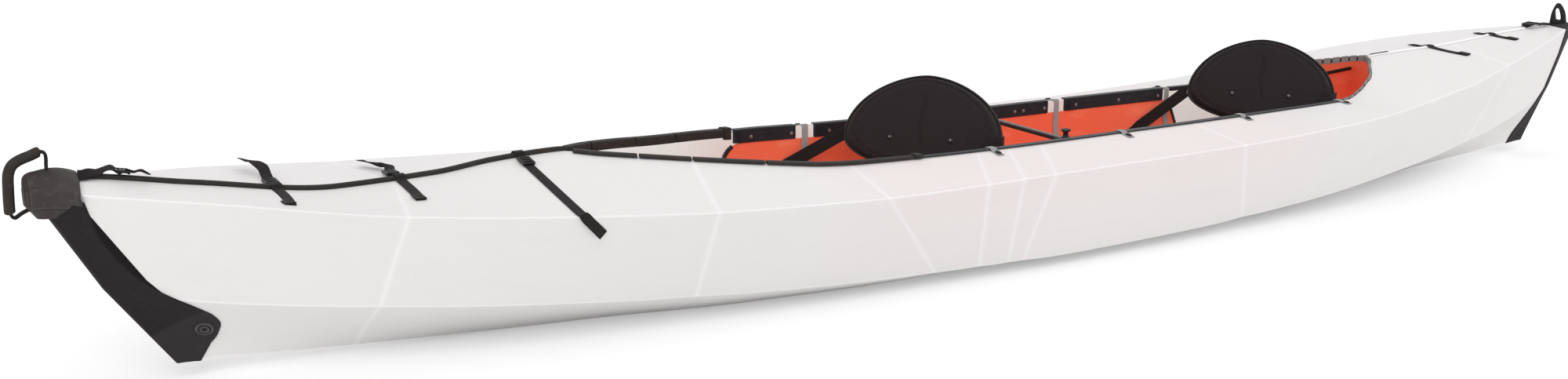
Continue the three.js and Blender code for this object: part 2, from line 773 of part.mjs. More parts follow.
// Folded liner behind the rear seat: a wall on each side, joined to the rear bulkhead.
function rearLiner() {
  const walls = [-1, 1].map((side) => {
    const rings = Array.from({ length: REAR_LINER.steps + 1 }, (_, i) => {
      const t = i / REAR_LINER.steps;
      const x = THREE.MathUtils.lerp(REAR_LINER.front, PLACES.rearBulkhead, t);
      const top = THREE.MathUtils.lerp(...linerHeightShares, t) * SHEER_HEIGHT;
      const [outer, inner] = [REAR_LINER.halfSpan, REAR_LINER.halfSpan - BULKHEAD.thick];
      const low = floorHeight(x, outer) + REAR_LINER.floorRoom;
      return [[outer, low], [outer, top], [inner, top], [inner, low]].map(
        ([y, z]) => new Vector3(x, side * y, z),
      );
    });
    return loft(rings);
  });
  return joined(bulkhead(PLACES.rearBulkhead), ...walls);
}

// Seats.

// Half-moon outline of a backrest as [across, up], scaled by a share.
function moonOutline(share) {
  return Array.from({ length: BACKREST.steps }, (_, i) => {
    const angle = (4 * RIGHT * i) / BACKREST.steps;
    const [c, s] = [Math.cos(angle), Math.sin(angle)];
    const across = BACKREST.halfWidth * Math.sign(c) * Math.abs(c) ** BACKREST.squareness;
    const up = (s > 0 ? BACKREST.rise : BACKREST.fall) * s;
    return [across * share, up * share];
  });
}

// Plate or cushion through rings of the outline, in the backrest's own frame: x back, y across, z up.
function moonSolid(rings) {
  return loft(
    rings.map(([x, share]) => moonOutline(share).map(([across, up]) => new Vector3(x, across, up))),
  );
}

// Rods along the backrest's depth, one on each side of its middle, from one depth to another.
function boltRods(radius, from, to) {
  return [-1, 1].map((side) => {
    const rod = cylinder(radius, to - from, BACKREST_BOLT.sides);
    rod.rotateZ(RIGHT);
    return rod.translate((from + to) / 2, side * BACKREST_BOLT.apart, -BACKREST_BOLT.below);
  });
}

function backrestBoard() {
  const board = moonSolid([[0, 1], [BACKREST.board, 1]]);
  const face = -GAP - BACKREST.foam - GAP;
  const shanks = boltRods(BACKREST_BOLT.shank, face - BACKREST_BOLT.headHeight / 2, BACKREST.board / 2);
  const heads = boltRods(BACKREST_BOLT.head, face - BACKREST_BOLT.headHeight, face);
  return joined(board, ...shanks, ...heads);
}

function backrestFoam() {
  const foam = moonSolid(foamRingShares.map(([depth, share]) => [-GAP - depth * BACKREST.foam, share]));
  const bores = boltRods(BACKREST_BOLT.shank + BACKREST_BOLT.room, -2 * BACKREST.foam, BACKREST.foam);
  return cut(foam, ...bores);
}

// Round hanger behind the board; the backrest leans about the hanger's own line.
function hangerRod() {
  const rod = cylinder(HANGER.radius, 2 * (BACKREST.halfWidth - GAP), HANGER.sides);
  return rod.translate(BACKREST.board + GAP + HANGER.radius, 0, 0);
}

function seatPad() {
  const { halfWidth, halfDepth, corner, cornerSteps } = SEAT_PAD;
  const outline = [];
  [[1, 1], [-1, 1], [-1, -1], [1, -1]].forEach(([sx, sy], quarter) => {
    for (let i = 0; i <= cornerSteps; i += 1) {
      const angle = RIGHT * (quarter + i / cornerSteps);
      const x = sx * (halfDepth - corner) + corner * Math.cos(angle);
      const y = sy * (halfWidth - corner) + corner * Math.sin(angle);
      outline.push([x, y]);
    }
  });
  const rings = padRingShares.map(([depth, share]) =>
    outline.map(([x, y]) => new Vector3(x * share, y * share, depth * SEAT_PAD.height)),
  );
  return loft(rings, (ring) => flatCap(ring, 'xy'));
}

// Flat webbing, standing on edge, along a line of points.
function seatStrap(points) {
  const rings = points.map((point, i) => {
    const ahead = points[Math.min(i + 1, points.length - 1)];
    const run = ahead.clone().sub(points[Math.max(i - 1, 0)]);
    const thick = new Vector3(-run.y, run.x, 0).setLength(SEAT_STRAP.thick / 2);
    const half = SEAT_STRAP.width / 2;
    return [[1, half], [-1, half], [-1, -half], [1, -half]].map(([side, up]) =>
      point.clone().addScaledVector(thick, side).add(new Vector3(0, 0, up)),
    );
  });
  return loft(rings);
}

function addSeat(name, place) {
  const turned = new THREE.Group();
  turned.position.set(place, 0, BACKREST.height);
  turned.rotation.z = radians(BACKREST.turn);
  const leaned = new THREE.Group();
  leaned.rotation.y = radians(BACKREST.lean);
  turned.add(leaned);
  kayak.add(turned);
  add(`backrest_board_${name}`, backrestBoard(), 'trim', leaned);
  add(`backrest_foam_${name}`, backrestFoam(), 'foam', leaned);
  add(`backrest_hanger_${name}`, hangerRod(), 'blackWeb', leaned);
  const pad = add(`seat_pad_${name}`, seatPad(), 'foam');
  pad.position.set(place - SEAT_PAD.ahead, 0, floorboardTop(place));
  const up = new Vector3(0, 0, 1);
  const across = new Vector3(0, 1, 0).applyAxisAngle(up, radians(BACKREST.turn));
  const ahead = new Vector3(-1, 0, 0).applyAxisAngle(up, radians(BACKREST.turn));
  const centre = new Vector3(place, 0, BACKREST.height);
  [1, -1].forEach((side) => {
    const beside = (width, reach) =>
      centre.clone().addScaledVector(across, side * width).addScaledVector(ahead, reach);
    const [anchor, foot] = [SEAT_ANCHOR.ahead, SEAT_ANCHOR.ahead + SEAT_ANCHOR.foot].map((reach) => {
      const x = place - reach;
      const edge = hullPointAt('edge', x);
      const wall = edge.y - GAP - PANEL.thick - GAP - SEAT_STRAP.thick / 2;
      const height = edge.z - RAIL.legDrop - SEAT_ANCHOR.below - SEAT_STRAP.width / 2;
      return new Vector3(x, side * wall, height);
    });
    const width = BACKREST.halfWidth + GAP + SEAT_STRAP.thick / 2;
    const start = [beside(width, -SEAT_STRAP.behind), beside(width, SEAT_STRAP.thick)];
    // The port end leads, so that strap then runs round the foam's edge.
    const corner = side < 0 ? [beside(width - SEAT_STRAP.cornerInset, SEAT_STRAP.cornerReach)] : [];
    const sideName = side > 0 ? 'starboard' : 'port';
    add(`seat_strap_${name}_${sideName}`, seatStrap([...start, ...corner, anchor, foot]), 'blackWeb');
  });
}

function footrest() {
  const bar = cylinder(FOOTREST.barRadius, 2 * FOOTREST.halfSpan, FOOTREST.sides);
  bar.translate(0, 0, FOOTREST.barHeight);
  const pieces = [-1, 1].map((side) => {
    const y = side * (FOOTREST.halfSpan - FOOTREST.postThick);
    const foot = new THREE.BoxGeometry(FOOTREST.foot, FOOTREST.footWidth, FOOTREST.footThick);
    foot.translate(0, y, FOOTREST.footThick / 2);
    const post = new THREE.BoxGeometry(2 * FOOTREST.barRadius, FOOTREST.postThick, FOOTREST.barHeight);
    post.translate(0, y, FOOTREST.barHeight / 2);
    return joined(foot, post);
  });
  return joined(bar, ...pieces);
}

// Cross bar with a clamp block under each rail, and its knobs.

function crossBarEnds() {
  const edge = hullPointAt('edge', PLACES.crossBar);
  const half = edge.y - GAP - RAIL.legThick - BAR.room;
  return { half, height: edge.z - BAR.below };
}

function crossBar() {
  const { half, height } = crossBarEnds();
  const bar = new THREE.BoxGeometry(BAR.width, 2 * half - BLOCK.thick, BAR.thick);
  const blocks = [-1, 1].map((side) => {
    const block = new THREE.BoxGeometry(2 * BLOCK.halfLength, BLOCK.thick, BLOCK.height);
    return block.translate(0, side * (half - BLOCK.thick / 2), 0);
  });
  return joined(bar, ...blocks).translate(PLACES.crossBar, 0, height);
}

function knob(side) {
  const points = [
    [0, 0],
    [KNOB.foot, 0],
    [KNOB.foot, KNOB.footHeight / 2],
    [KNOB.waist, KNOB.footHeight],
    [KNOB.waist, KNOB.waistHeight],
    [KNOB.radius, KNOB.waistHeight + KNOB.footHeight / 2],
    [KNOB.radius, KNOB.height],
    [0, KNOB.height],
  ];
  const body = new THREE.LatheGeometry(points.map(([r, h]) => new THREE.Vector2(r, h)), KNOB.sides);
  body.rotateX(RIGHT);
  const { half, height } = crossBarEnds();
  return body.translate(PLACES.crossBar, side * (half - KNOB.inboard), height + BAR.thick / 2 + GAP);
}

// End covers: the hull's own shape grown by a thickness, cut to a side outline, less the hull's shape.

function hullRing(share, grow) {
  const half = (side) => CORNERS.map((corner) => hullPoint(corner, share, -grow, side));
  return [...half(1), ...half(-1).reverse()];
}

function grownHull(end, grow, nose, noseBreadthShare = 1) {
  const shares = STATIONS.filter((s) => end * s > coveredShare);
  const rings = shares.map((share) => hullRing(share, grow));
  const tip = hullRing(end, grow).map(
    (p) => new Vector3(p.x + end * nose, p.y * noseBreadthShare, p.z),
  );
  return loft(end > 0 ? [...rings, tip] : [tip, ...rings], ladderCap);
}

// Outline of a cover, from shares to [x, z].
function outlinePoints(end, shares) {
  const reach = end < 0 ? REACH.gunwale.bow : REACH.gunwale.stern;
  return shares.map(([x, z]) => [end * x * reach, z * SHEER_HEIGHT]);
}

function sideOutline(points) {
  const shape = new THREE.Shape(points.map(([x, z]) => new THREE.Vector2(x, z)));
  const block = new THREE.ExtrudeGeometry(shape, { depth: FAIRING.outlineDepth, bevelEnabled: false });
  block.rotateX(RIGHT);
  return block.translate(0, FAIRING.outlineDepth / 2, 0);
}

// Outer shape of a cover, or that shape grown by a gap for a piece that stands on it.
function coverShape(end, size, room = 0) {
  return grownHull(end, size.thick + LAY + room, size.nose + room, size.noseBreadthShare);
}

function endCover(end, size, outlineShares) {
  const inside = toSolid(grownHull(end, LAY, 2 * LAY));
  const outline = toSolid(sideOutline(outlinePoints(end, outlineShares)));
  return toSolid(coverShape(end, size)).intersect(outline).subtract(inside);
}

// Round fastener that lies flat on the fairing's side.
function fastener(side) {
  const [[x, z]] = outlinePoints(-1, [fastenerShares]);
  const target = new THREE.Mesh(coverShape(-1, FAIRING), new THREE.MeshBasicMaterial());
  const ray = new THREE.Raycaster(new Vector3(x, side * HALF_BEAM, z), new Vector3(0, -side, 0));
  const { point, face } = ray.intersectObject(target)[0];
  const disc = cylinder(FASTENER.radius, FASTENER.height + FASTENER.sink, FASTENER.sides);
  disc.translate(0, (FASTENER.height - FASTENER.sink) / 2, 0);
  disc.applyQuaternion(new THREE.Quaternion().setFromUnitVectors(new Vector3(0, 1, 0), face.normal));
  return disc.translate(point.x, point.y, point.z);
}

function bowFairing() {
  const shell = endCover(-1, FAIRING, fairingOutlineShares);
  return toGeometry([-1, 1].reduce((sum, side) => sum.add(toSolid(fastener(side))), shell));
}

// Bow handle and stern loop.

function handleCurve() {
  const points = outlinePoints(-1, handlePathShares);
  return new THREE.CatmullRomCurve3(points.map(([x, z]) => new Vector3(x, 0, z)));
}

function pathPoints([from, to], count) {
  const curve = handleCurve();
  return Array.from({ length: count }, (_, i) => curve.getPointAt(from + ((to - from) * i) / (count - 1)));
}

function handleGrip() {
  const outer = tube(pathPoints(gripShares, GRIP.steps), GRIP.radius, GRIP.sides, GRIP.steps);
  const past = (gripShares[1] - gripShares[0]) / GRIP.steps;
  const borePath = pathPoints([gripShares[0] - past, gripShares[1] + past], GRIP.steps);
  return cut(outer, tube(borePath, GRIP.bore, GRIP.sides, GRIP.steps));
}

function handleWebbing() {
  const web = tube(pathPoints([0, 1], CORE.steps), CORE.radius, CORE.sides, CORE.steps);
  return cut(web, coverShape(-1, CAP, GAP));
}

function sternLoop() {
  const corners = (points) => points.map(([x, z]) => new THREE.Vector2(x, z));
  const curve = new THREE.SplineCurve(corners(loopOutline));
  const ring = new THREE.Shape(curve.getPoints(LOOP.curveSteps * loopOutline.length));
  ring.holes.push(new THREE.Path(corners(loopHole)));
  const plate = new THREE.ExtrudeGeometry(ring, { depth: 2 * LOOP.halfThick, bevelEnabled: false });
  plate.rotateX(RIGHT);
  plate.translate(0, LOOP.halfThick, 0);
  const [from, to] = LOOP.foot;
  const hem = cylinder(LOOP.halfThick, to - from, LOOP.hemSides);
  hem.rotateZ(RIGHT);
  hem.translate((from + to) / 2, 0, 0);
  const strip = coverShape(1, STERN_STRIP);
  strip.computeBoundingBox();
  return joined(plate, hem).translate(0, 0, strip.boundingBox.max.z + GAP + LOOP.halfThick);
}

// Deck straps: webbing across the seam rail with a buckle, and the stern's plain straps.

function deckStrap({ place, nearEnd, nearRoom, farEnd, farLift, buckle, hang }, rail) {
  const railTop = LAY + rail.height + LAY;
  const shoulder = rail.halfWidth + LAY;
  const lineAt = (x) => {
    const seam = hullPointAt('edge', x).z;
    const onDeck = (y) => deckHeight(x, y) + LAY;
    const line = [];
    const gunwale = hullPointAt('gunwale', x);
    const startY = nearEnd ?? gunwale.y - nearRoom;
    if (hang) {
      const out = gunwale.y + LAY + DECK_STRAP.thick;
      line.push([-out - DECK_STRAP.thick, gunwale.z - hang], [-out, gunwale.z + LAY]);
    }
    const nearest = shoulder + DECK_STRAP.climb;
    for (let i = 0; i < DECK_STRAP.bends; i += 1) {
      const y = THREE.MathUtils.lerp(startY, nearest, i / DECK_STRAP.bends);
      line.push([-y, onDeck(y)]);
    }
    line.push(
      [-nearest, onDeck(nearest)],
      [-shoulder, seam + railTop],
      [shoulder, seam + railTop],
      [shoulder + DECK_STRAP.climb, onDeck(shoulder + DECK_STRAP.climb)],
      [farEnd, onDeck(farEnd) + farLift],
    );
    return line;
  };
  const profile = (x) => band(lineAt(x), DECK_STRAP.thick).map(([y, z]) => new Vector3(x, y, z));
  const half = DECK_STRAP.width / 2;
  const strap = loft([profile(place - half), profile(place + half)], ladderCap);
  if (buckle === undefined) return strap;
  const box = new THREE.BoxGeometry(DECK_BUCKLE.width, DECK_BUCKLE.length, DECK_BUCKLE.height);
  const middle = lineAt(place);
  const after = middle.findIndex(([y]) => y > buckle);
  const [from, to] = [middle[after - 1], middle[after]];
  const slope = Math.atan2(to[1] - from[1], to[0] - from[0]);
  box.translate(0, 0, DECK_STRAP.thick + DECK_BUCKLE.height / 2 - DECK_BUCKLE.sink);
  box.rotateX(slope);
  box.translate(place, buckle, from[1] + (buckle - from[0]) * Math.tan(slope));
  return joined(strap, box);
}

// Webbing from the bow cap over the seam rail, with its slack curled up.
function capStrap() {
  const rear = outlinePoints(-1, capOutlineShares)[2][0];
  const railTop = (x) => hullPointAt('edge', x).z + LAY + SEAM_RAIL.height + LAY;
  const start = rear + CAP_STRAP.start;
  const { reach, lift, thick, width, bends } = CAP_STRAP;
  const line = Array.from({ length: bends + 1 }, (_, i) => {
    const x = start + (reach * i) / bends;
    const wave = i % 2 === 1 ? lift : 0;
    return [x, railTop(x) + wave];
  });
  const rings = [-1, 1].map((side) =>
    band(line, thick).map(([x, z]) => new Vector3(x, (side * width) / 2, z)),
  );
  return loft(rings, ladderCap);
}

// Webbing with a buckle that hangs over the deck ahead of the stern strip.
function sternBuckleStrap() {
  const rear = outlinePoints(1, sternStripOutlineShares)[1][0] - STERN_STRIP.thick;
  const { reach, thick, width, buckle, buckleHeight, bends } = STERN_BUCKLE;
  const top = (x) => hullPointAt('edge', x).z + LAY + STERN_RAIL.height + LAY;
  const from = rear - reach;
  const line = Array.from({ length: bends + 1 }, (_, i) => {
    const x = from + (reach * i) / bends;
    return [x, top(x)];
  });
  const rings = [-1, 1].map((side) =>
    band(line, thick).map(([x, z]) => new Vector3(x, (side * width) / 2, z)),
  );
  const strap = loft(rings, ladderCap);
  const box = new THREE.BoxGeometry(buckle, width + 2 * thick, buckleHeight);
  box.translate(from + buckle / 2, 0, top(from + buckle / 2) + buckleHeight / 2 + thick / 2);
  return joined(strap, box);
}

// The whole kayak.

add('hull_bottom', bottomPanel(), 'sheet');
[['port', -1], ['starboard', 1]].forEach(([name, side]) => {
  add(`hull_chine_${name}`, strakePanel('floor', 'chine', side), 'sheet');
  add(`hull_side_${name}`, strakePanel('chine', 'gunwale', side), 'sheet');
  add(`deck_${name}`, strakePanel('gunwale', 'edge', side), 'sheet');
  add(`side_panel_${name}`, sidePanel(side), 'orange');
  add(`crossbar_knob_${name}`, knob(side), 'rail');
});
add('bow_seam_rail', seamRail(SEAM_RAIL, PLACES.bowRailFront, PLACES.bowRailRear), 'trim');
add('stern_seam_rail', seamRail(STERN_RAIL, PLACES.sternRailFront, PLACES.sternRailRear), 'sheet');
add('coaming_trim_port', frontTrim(PLACES.portTrimRear, -1), 'trim');
add('coaming_trim_starboard', frontTrim(PLACES.starboardTrimRear, 1), 'trim');
add('gunwale_rail_port', edgeRail(RAIL, PLACES.portRailFront, PLACES.portRailRear, -1), 'rail');
PLACES.starboardRails.forEach(([from, to], i) => {
  const size = i < PLACES.starboardRails.length - 1 ? RAIL : THIN_RAIL;
  add(`gunwale_rail_starboard_${i + 1}`, edgeRail(size, from, to, 1), 'rail');
});
add('cockpit_rear_rim', rearRim(), 'rimGrey');
PLACES.portStraps.forEach((place, i) => {
  add(`gunwale_strap_port_${i + 1}`, gunwaleStrap(place, -1, true), 'greyWeb');
});
PLACES.starboardStraps.forEach((place, i) => {
  add(`gunwale_strap_starboard_${i + 1}`, gunwaleStrap(place, 1, false), 'greyWeb');
});
add('floorboard_front', floorboard(PLACES.floorFront), 'orange');
add('floorboard_rear', floorboard(PLACES.floorRear), 'orange');
add('bulkhead_front', bulkhead(PLACES.frontBulkhead), 'orange');
add('rear_liner', rearLiner(), 'orange');
addSeat('front', SEAT_PLACES.front);
addSeat('rear', SEAT_PLACES.rear);
['front', 'rear'].forEach((name) => {
  const rest = add(`footrest_${name}`, footrest(), 'rail');
  const x = FOOTREST_PLACES[name];
  rest.position.set(x, 0, floorboardTop(x));
});
add('crossbar', crossBar(), 'trim');
add('bow_fairing', bowFairing(), 'fairing');
add('bow_cap', toGeometry(endCover(-1, CAP, capOutlineShares)), 'cap');
add('bow_handle_grip', handleGrip(), 'trim');
add('bow_handle_webbing', handleWebbing(), 'blackWeb');
add('bow_cap_strap', capStrap(), 'blackWeb');
add('stern_strip', toGeometry(endCover(1, STERN_STRIP, sternStripOutlineShares)), 'fairing');
add('stern_loop', sternLoop(), 'blackWeb');
add('stern_buckle_strap', sternBuckleStrap(), 'blackWeb');
Object.values(BOW_STRAPS).forEach((strap, i) => {
  add(`bow_deck_strap_${i + 1}`, deckStrap(strap, SEAM_RAIL), 'blackWeb');
});
Object.values(STERN_STRAPS).forEach((strap, i) => {
  add(`stern_deck_strap_${i + 1}`, deckStrap(strap, STERN_RAIL), 'blackWeb');
});

export default kayak;
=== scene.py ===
# Folding kayak for two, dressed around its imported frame. All sizes are in metres.
import json
import math
import random

import bmesh
import bpy
from mathutils import Matrix, Vector
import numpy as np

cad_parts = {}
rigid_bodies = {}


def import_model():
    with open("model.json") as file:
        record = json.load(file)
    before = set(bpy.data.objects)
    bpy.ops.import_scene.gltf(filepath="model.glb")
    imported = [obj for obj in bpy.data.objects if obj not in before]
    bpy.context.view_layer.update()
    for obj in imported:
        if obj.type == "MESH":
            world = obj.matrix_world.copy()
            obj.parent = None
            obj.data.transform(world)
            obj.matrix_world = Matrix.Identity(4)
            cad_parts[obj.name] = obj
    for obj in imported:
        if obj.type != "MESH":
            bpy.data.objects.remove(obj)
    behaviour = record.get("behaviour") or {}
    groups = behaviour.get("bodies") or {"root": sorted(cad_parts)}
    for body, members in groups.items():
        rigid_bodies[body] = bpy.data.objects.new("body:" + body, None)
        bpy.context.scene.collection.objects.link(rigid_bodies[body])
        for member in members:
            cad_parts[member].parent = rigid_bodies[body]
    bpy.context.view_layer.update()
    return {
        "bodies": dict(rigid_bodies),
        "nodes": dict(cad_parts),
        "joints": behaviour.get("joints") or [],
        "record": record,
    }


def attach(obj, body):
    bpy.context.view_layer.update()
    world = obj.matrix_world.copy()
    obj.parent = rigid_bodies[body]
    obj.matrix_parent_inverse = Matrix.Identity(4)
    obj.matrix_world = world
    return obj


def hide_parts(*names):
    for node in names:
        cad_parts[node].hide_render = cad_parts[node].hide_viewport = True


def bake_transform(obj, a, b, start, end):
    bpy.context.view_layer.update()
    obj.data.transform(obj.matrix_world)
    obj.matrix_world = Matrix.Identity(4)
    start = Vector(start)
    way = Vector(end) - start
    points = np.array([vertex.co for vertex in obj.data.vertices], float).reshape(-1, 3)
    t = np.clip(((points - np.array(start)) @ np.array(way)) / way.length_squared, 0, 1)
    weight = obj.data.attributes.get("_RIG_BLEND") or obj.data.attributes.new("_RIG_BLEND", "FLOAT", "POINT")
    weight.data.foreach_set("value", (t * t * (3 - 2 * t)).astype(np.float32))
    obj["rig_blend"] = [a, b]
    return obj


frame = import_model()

UP = Vector((0, 0, 1))
TURN = 2 * math.pi
QUARTER_TURN = math.pi / 2

# Camera, from the photograph's own perspective.
IMAGE_WIDTH = 2000
FOCAL_PIXELS = 2104
SENSOR_WIDTH = 36
EYE = Vector((-2.755, -3.513, 1.236))
YAW = math.radians(59.42)
PITCH = math.radians(-13.82)

# Hull: main sizes.
HALF_BEAM = 0.425
SHEER_HEIGHT = 0.455
COAMING_HALF_WIDTH = 0.242
SHEET = 0.005
KEEL_RISE = 0.043
SEAM_HALF_GAP = 0.002
NARROWEST = 0.0004
GAP = 0.0003
LAY = 0.0007
REACH = {
    "floor": (2.165, 2.262),
    "chine": (2.295, 2.372),
    "gunwale": (2.415, 2.456),
    "edge": (2.415, 2.456),
}
CORNERS = ["floor", "chine", "gunwale", "edge"]
SIDES = {"port": -1, "starboard": 1}

# Hull lines: stations as shares of the reach, and sizes as shares of the beam and of the sheer height.
STATION_SHARES = [-1, -0.95, -0.875, -0.75, -0.6, -0.4, -0.2, 0, 0.2, 0.4, 0.6, 0.75, 0.875, 0.95, 1]
FLOOR_BREADTHS = [0.005, 0.01, 0.015, 0.04, 0.12, 0.32, 0.41, 0.41, 0.41, 0.36, 0.14, 0.05, 0.02, 0.01, 0.005]
KEEL_RISES = [1, 0.85, 0.55, 0.2, 0, 0, 0, 0, 0, 0, 0, 0.3, 0.6, 0.85, 1]
CHINE_BREADTHS = [0.035, 0.16, 0.31, 0.48, 0.58, 0.64, 0.68, 0.69, 0.68, 0.66, 0.6, 0.48, 0.31, 0.15, 0.035]
CHINE_HEIGHTS = [0.5, 0.44, 0.39, 0.32, 0.24, 0.15, 0.1, 0.07, 0.08, 0.13, 0.23, 0.32, 0.4, 0.45, 0.5]
GUNWALE_BREADTHS = [0.066, 0.23, 0.43, 0.67, 0.84, 0.965, 1, 0.99, 0.98, 0.95, 0.84, 0.63, 0.37, 0.19, 0.066]
GUNWALE_HEIGHTS = [0.985, 0.965, 0.925, 0.835, 0.755, 0.68, 0.645, 0.645, 0.645, 0.67, 0.765, 0.86, 0.91, 0.93, 0.94]
DECK_EDGES = [
    (-1, 0, 1.04), (-0.95, 0, 1.005), (-0.875, 0, 0.93), (-0.75, 0, 0.83), (-0.66, 0, 0.84), (-0.6, 0, 0.872),
    (-0.54, 0, 0.885), (-0.497, 0.24, 0.866), (-0.455, 0.42, 0.844), (-0.414, 0.56, 0.82), (-0.33, 0.86, 0.778),
    (-0.29, 0.96, 0.76), (-0.25, 1, 0.75), (-0.166, 0.99, 0.734), (0, 0.95, 0.716), (0.25, 0.913, 0.71),
    (0.418, 0.846, 0.704), (0.476, 0.785, 0.7), (0.501, 0.765, 0.747), (0.518, 0.72, 0.796), (0.543, 0.55, 0.818),
    (0.568, 0.31, 0.845), (0.585, 0.16, 0.862), (0.597, 0, 0.873), (0.75, 0, 0.893), (0.875, 0, 0.935),
    (0.95, 0, 0.945), (1, 0, 0.945),
]

# Folds pressed across the hull: where each crosses the deck's edge, the gunwale, the chine and the floor,
# how deep the panels dip along it, and how far the dip reaches.
CREASES = [
    (-1.69, -1.75, -1.79, -1.80, 0.0022, 0.10),
    (-1.01, -1.08, -1.07, -1.05, 0.0030, 0.09),
    (-0.64, -0.64, -0.41, -0.36, 0.0020, 0.12),
    (-0.25, -0.35, -0.27, -0.25, 0.0022, 0.05),
    (-0.15, -0.24, -0.18, -0.17, 0.0016, 0.04),
    (-0.04, -0.14, -0.13, -0.12, 0.0032, 0.06),
    (0.50, 0.52, 0.66, 0.70, 0.0034, 0.08),
    (1.86, 1.78, 1.70, 1.68, 0.0020, 0.09),
]


def smooth(places, values):
    """Cubic through a table of values whose slopes are limited, so that it never overshoots a value."""
    rises = [(values[i + 1] - values[i]) / (places[i + 1] - places[i]) for i in range(len(places) - 1)]
    slopes = [rises[0]]
    for before, after in zip(rises, rises[1:]):
        slopes.append(0 if before * after <= 0 else 2 * before * after / (before + after))
    slopes.append(rises[-1])

    def value(x):
        i = 0
        while i < len(places) - 2 and x > places[i + 1]:
            i += 1
        span = places[i + 1] - places[i]
        t = (x - places[i]) / span
        bend = t * t * (3 - 2 * t)
        ends = slopes[i] * t * (1 - t) ** 2 + slopes[i + 1] * t * t * (t - 1)
        return values[i] + (values[i + 1] - values[i]) * bend + ends * span

    return value


floor_breadth = smooth(STATION_SHARES, FLOOR_BREADTHS)
keel_rise = smooth(STATION_SHARES, KEEL_RISES)
chine_breadth = smooth(STATION_SHARES, CHINE_BREADTHS)
chine_height = smooth(STATION_SHARES, CHINE_HEIGHTS)
gunwale_breadth = smooth(STATION_SHARES, GUNWALE_BREADTHS)
gunwale_height = smooth(STATION_SHARES, GUNWALE_HEIGHTS)
edge_breadth = smooth([row[0] for row in DECK_EDGES], [row[1] for row in DECK_EDGES])
edge_height = smooth([row[0] for row in DECK_EDGES], [row[2] for row in DECK_EDGES])


def outer_corners(share):
    """(y, z) of the starboard half section's corners, from the floor to the deck's inner edge."""
    edge = SEAM_HALF_GAP + edge_breadth(share) * (COAMING_HALF_WIDTH - SEAM_HALF_GAP)
    return [
        (floor_breadth(share) * HALF_BEAM, keel_rise(share) * KEEL_RISE),
        (chine_breadth(share) * HALF_BEAM, chine_height(share) * SHEER_HEIGHT),
        (gunwale_breadth(share) * HALF_BEAM, gunwale_height(share) * SHEER_HEIGHT),
        (edge, edge_height(share) * SHEER_HEIGHT),
    ]


def place_of(corner, share):
    """Place along the hull of a fold line's point, from its share of the line's reach."""
    bow, stern = REACH[corner]
    return share * (bow if share < 0 else stern)


def share_at(corner, x):
    bow, stern = REACH[corner]
    return x / (bow if x < 0 else stern)


def mix(a, b, t):
    return a + (b - a) * t


def clamp(value):
    return min(max(value, 0), 1)


def span_of(value, marks):
    """Which span of a rising list a value lies in, and its share of the way along that span."""
    i = 0
    while i < len(marks) - 2 and value > marks[i + 1]:
        i += 1
    return i, clamp((value - marks[i]) / (marks[i + 1] - marks[i]))


def mirrored(points):
    """The same points on the other side of the hull."""
    return [Vector((p.x, -p.y, p.z)) for p in points]


def heading(points, i):
    """Direction of an open line at one of its points."""
    return points[min(i + 1, len(points) - 1)] - points[max(i - 1, 0)]


def inward(start, end):
    """Normal of a section line, pointing into the hull on the starboard half."""
    dy, dz = end[0] - start[0], end[1] - start[1]
    length = math.hypot(dy, dz)
    return -dz / length, dy / length


def mitre(point, before, after, depth):
    """A corner moved into the hull by depth from both of its section lines, whose normals are given."""
    scale = depth / (1 + before[0] * after[0] + before[1] * after[1])
    return point[0] + (before[0] + after[0]) * scale, point[1] + (before[1] + after[1]) * scale


def lean_place(share, z):
    """How far along the hull a section lies at a height: the section leans with the ends of the fold lines."""
    i, t = span_of(z, [corner[1] for corner in outer_corners(share)])
    return mix(place_of(CORNERS[i], share), place_of(CORNERS[i + 1], share), t)


SECTIONS = {}


def section(share, depth=0):
    """The four corners of the starboard half section, moved into the hull by depth."""
    key = (round(share, 6), depth)
    if key in SECTIONS:
        return SECTIONS[key]
    floor, chine, gunwale, edge = outer_corners(share)
    normals = [(0, 1), inward(floor, chine), inward(chine, gunwale), inward(gunwale, edge)]
    moved = [
        mitre(floor, normals[0], normals[1], depth),
        mitre(chine, normals[1], normals[2], depth),
        mitre(gunwale, normals[2], normals[3], depth),
    ]
    if moved[0][0] < NARROWEST:
        start = (floor[0] + normals[1][0] * depth, floor[1] + normals[1][1] * depth)
        t = (NARROWEST - start[0]) / (chine[0] - floor[0])
        moved[0] = (NARROWEST, start[1] + (chine[1] - floor[1]) * t)
    start = (edge[0] + normals[3][0] * depth, edge[1] + normals[3][1] * depth)
    rise = (edge[1] - gunwale[1]) * (edge[0] - start[0]) / (edge[0] - gunwale[0])
    moved.append((edge[0], start[1] + rise))
    SECTIONS[key] = [Vector((lean_place(share, z), y, z)) for y, z in moved]
    return SECTIONS[key]


def hull_point(corner, share, side=1, depth=0):
    point = section(share, depth)[CORNERS.index(corner)]
    return Vector((point.x, side * point.y, point.z))


def hull_point_at(corner, x, side=1, depth=0):
    return hull_point(corner, share_at(corner, x), side, depth)


def shares_along(start, end, step=0.012, corner="edge"):
    """Even shares from one place to another."""
    first, last = share_at(corner, start), share_at(corner, end)
    count = max(1, round(abs(end - start) / step))
    return [mix(first, last, i / count) for i in range(count + 1)]


def deck_point(x, y, lift=0.0):
    """A point on the deck's top at a place, raised by lift."""
    _, _, gunwale, edge = section(share_at("edge", x))
    t = (abs(y) - edge.y) / (gunwale.y - edge.y)
    return Vector((x, y, mix(edge.z, gunwale.z, t) + lift))


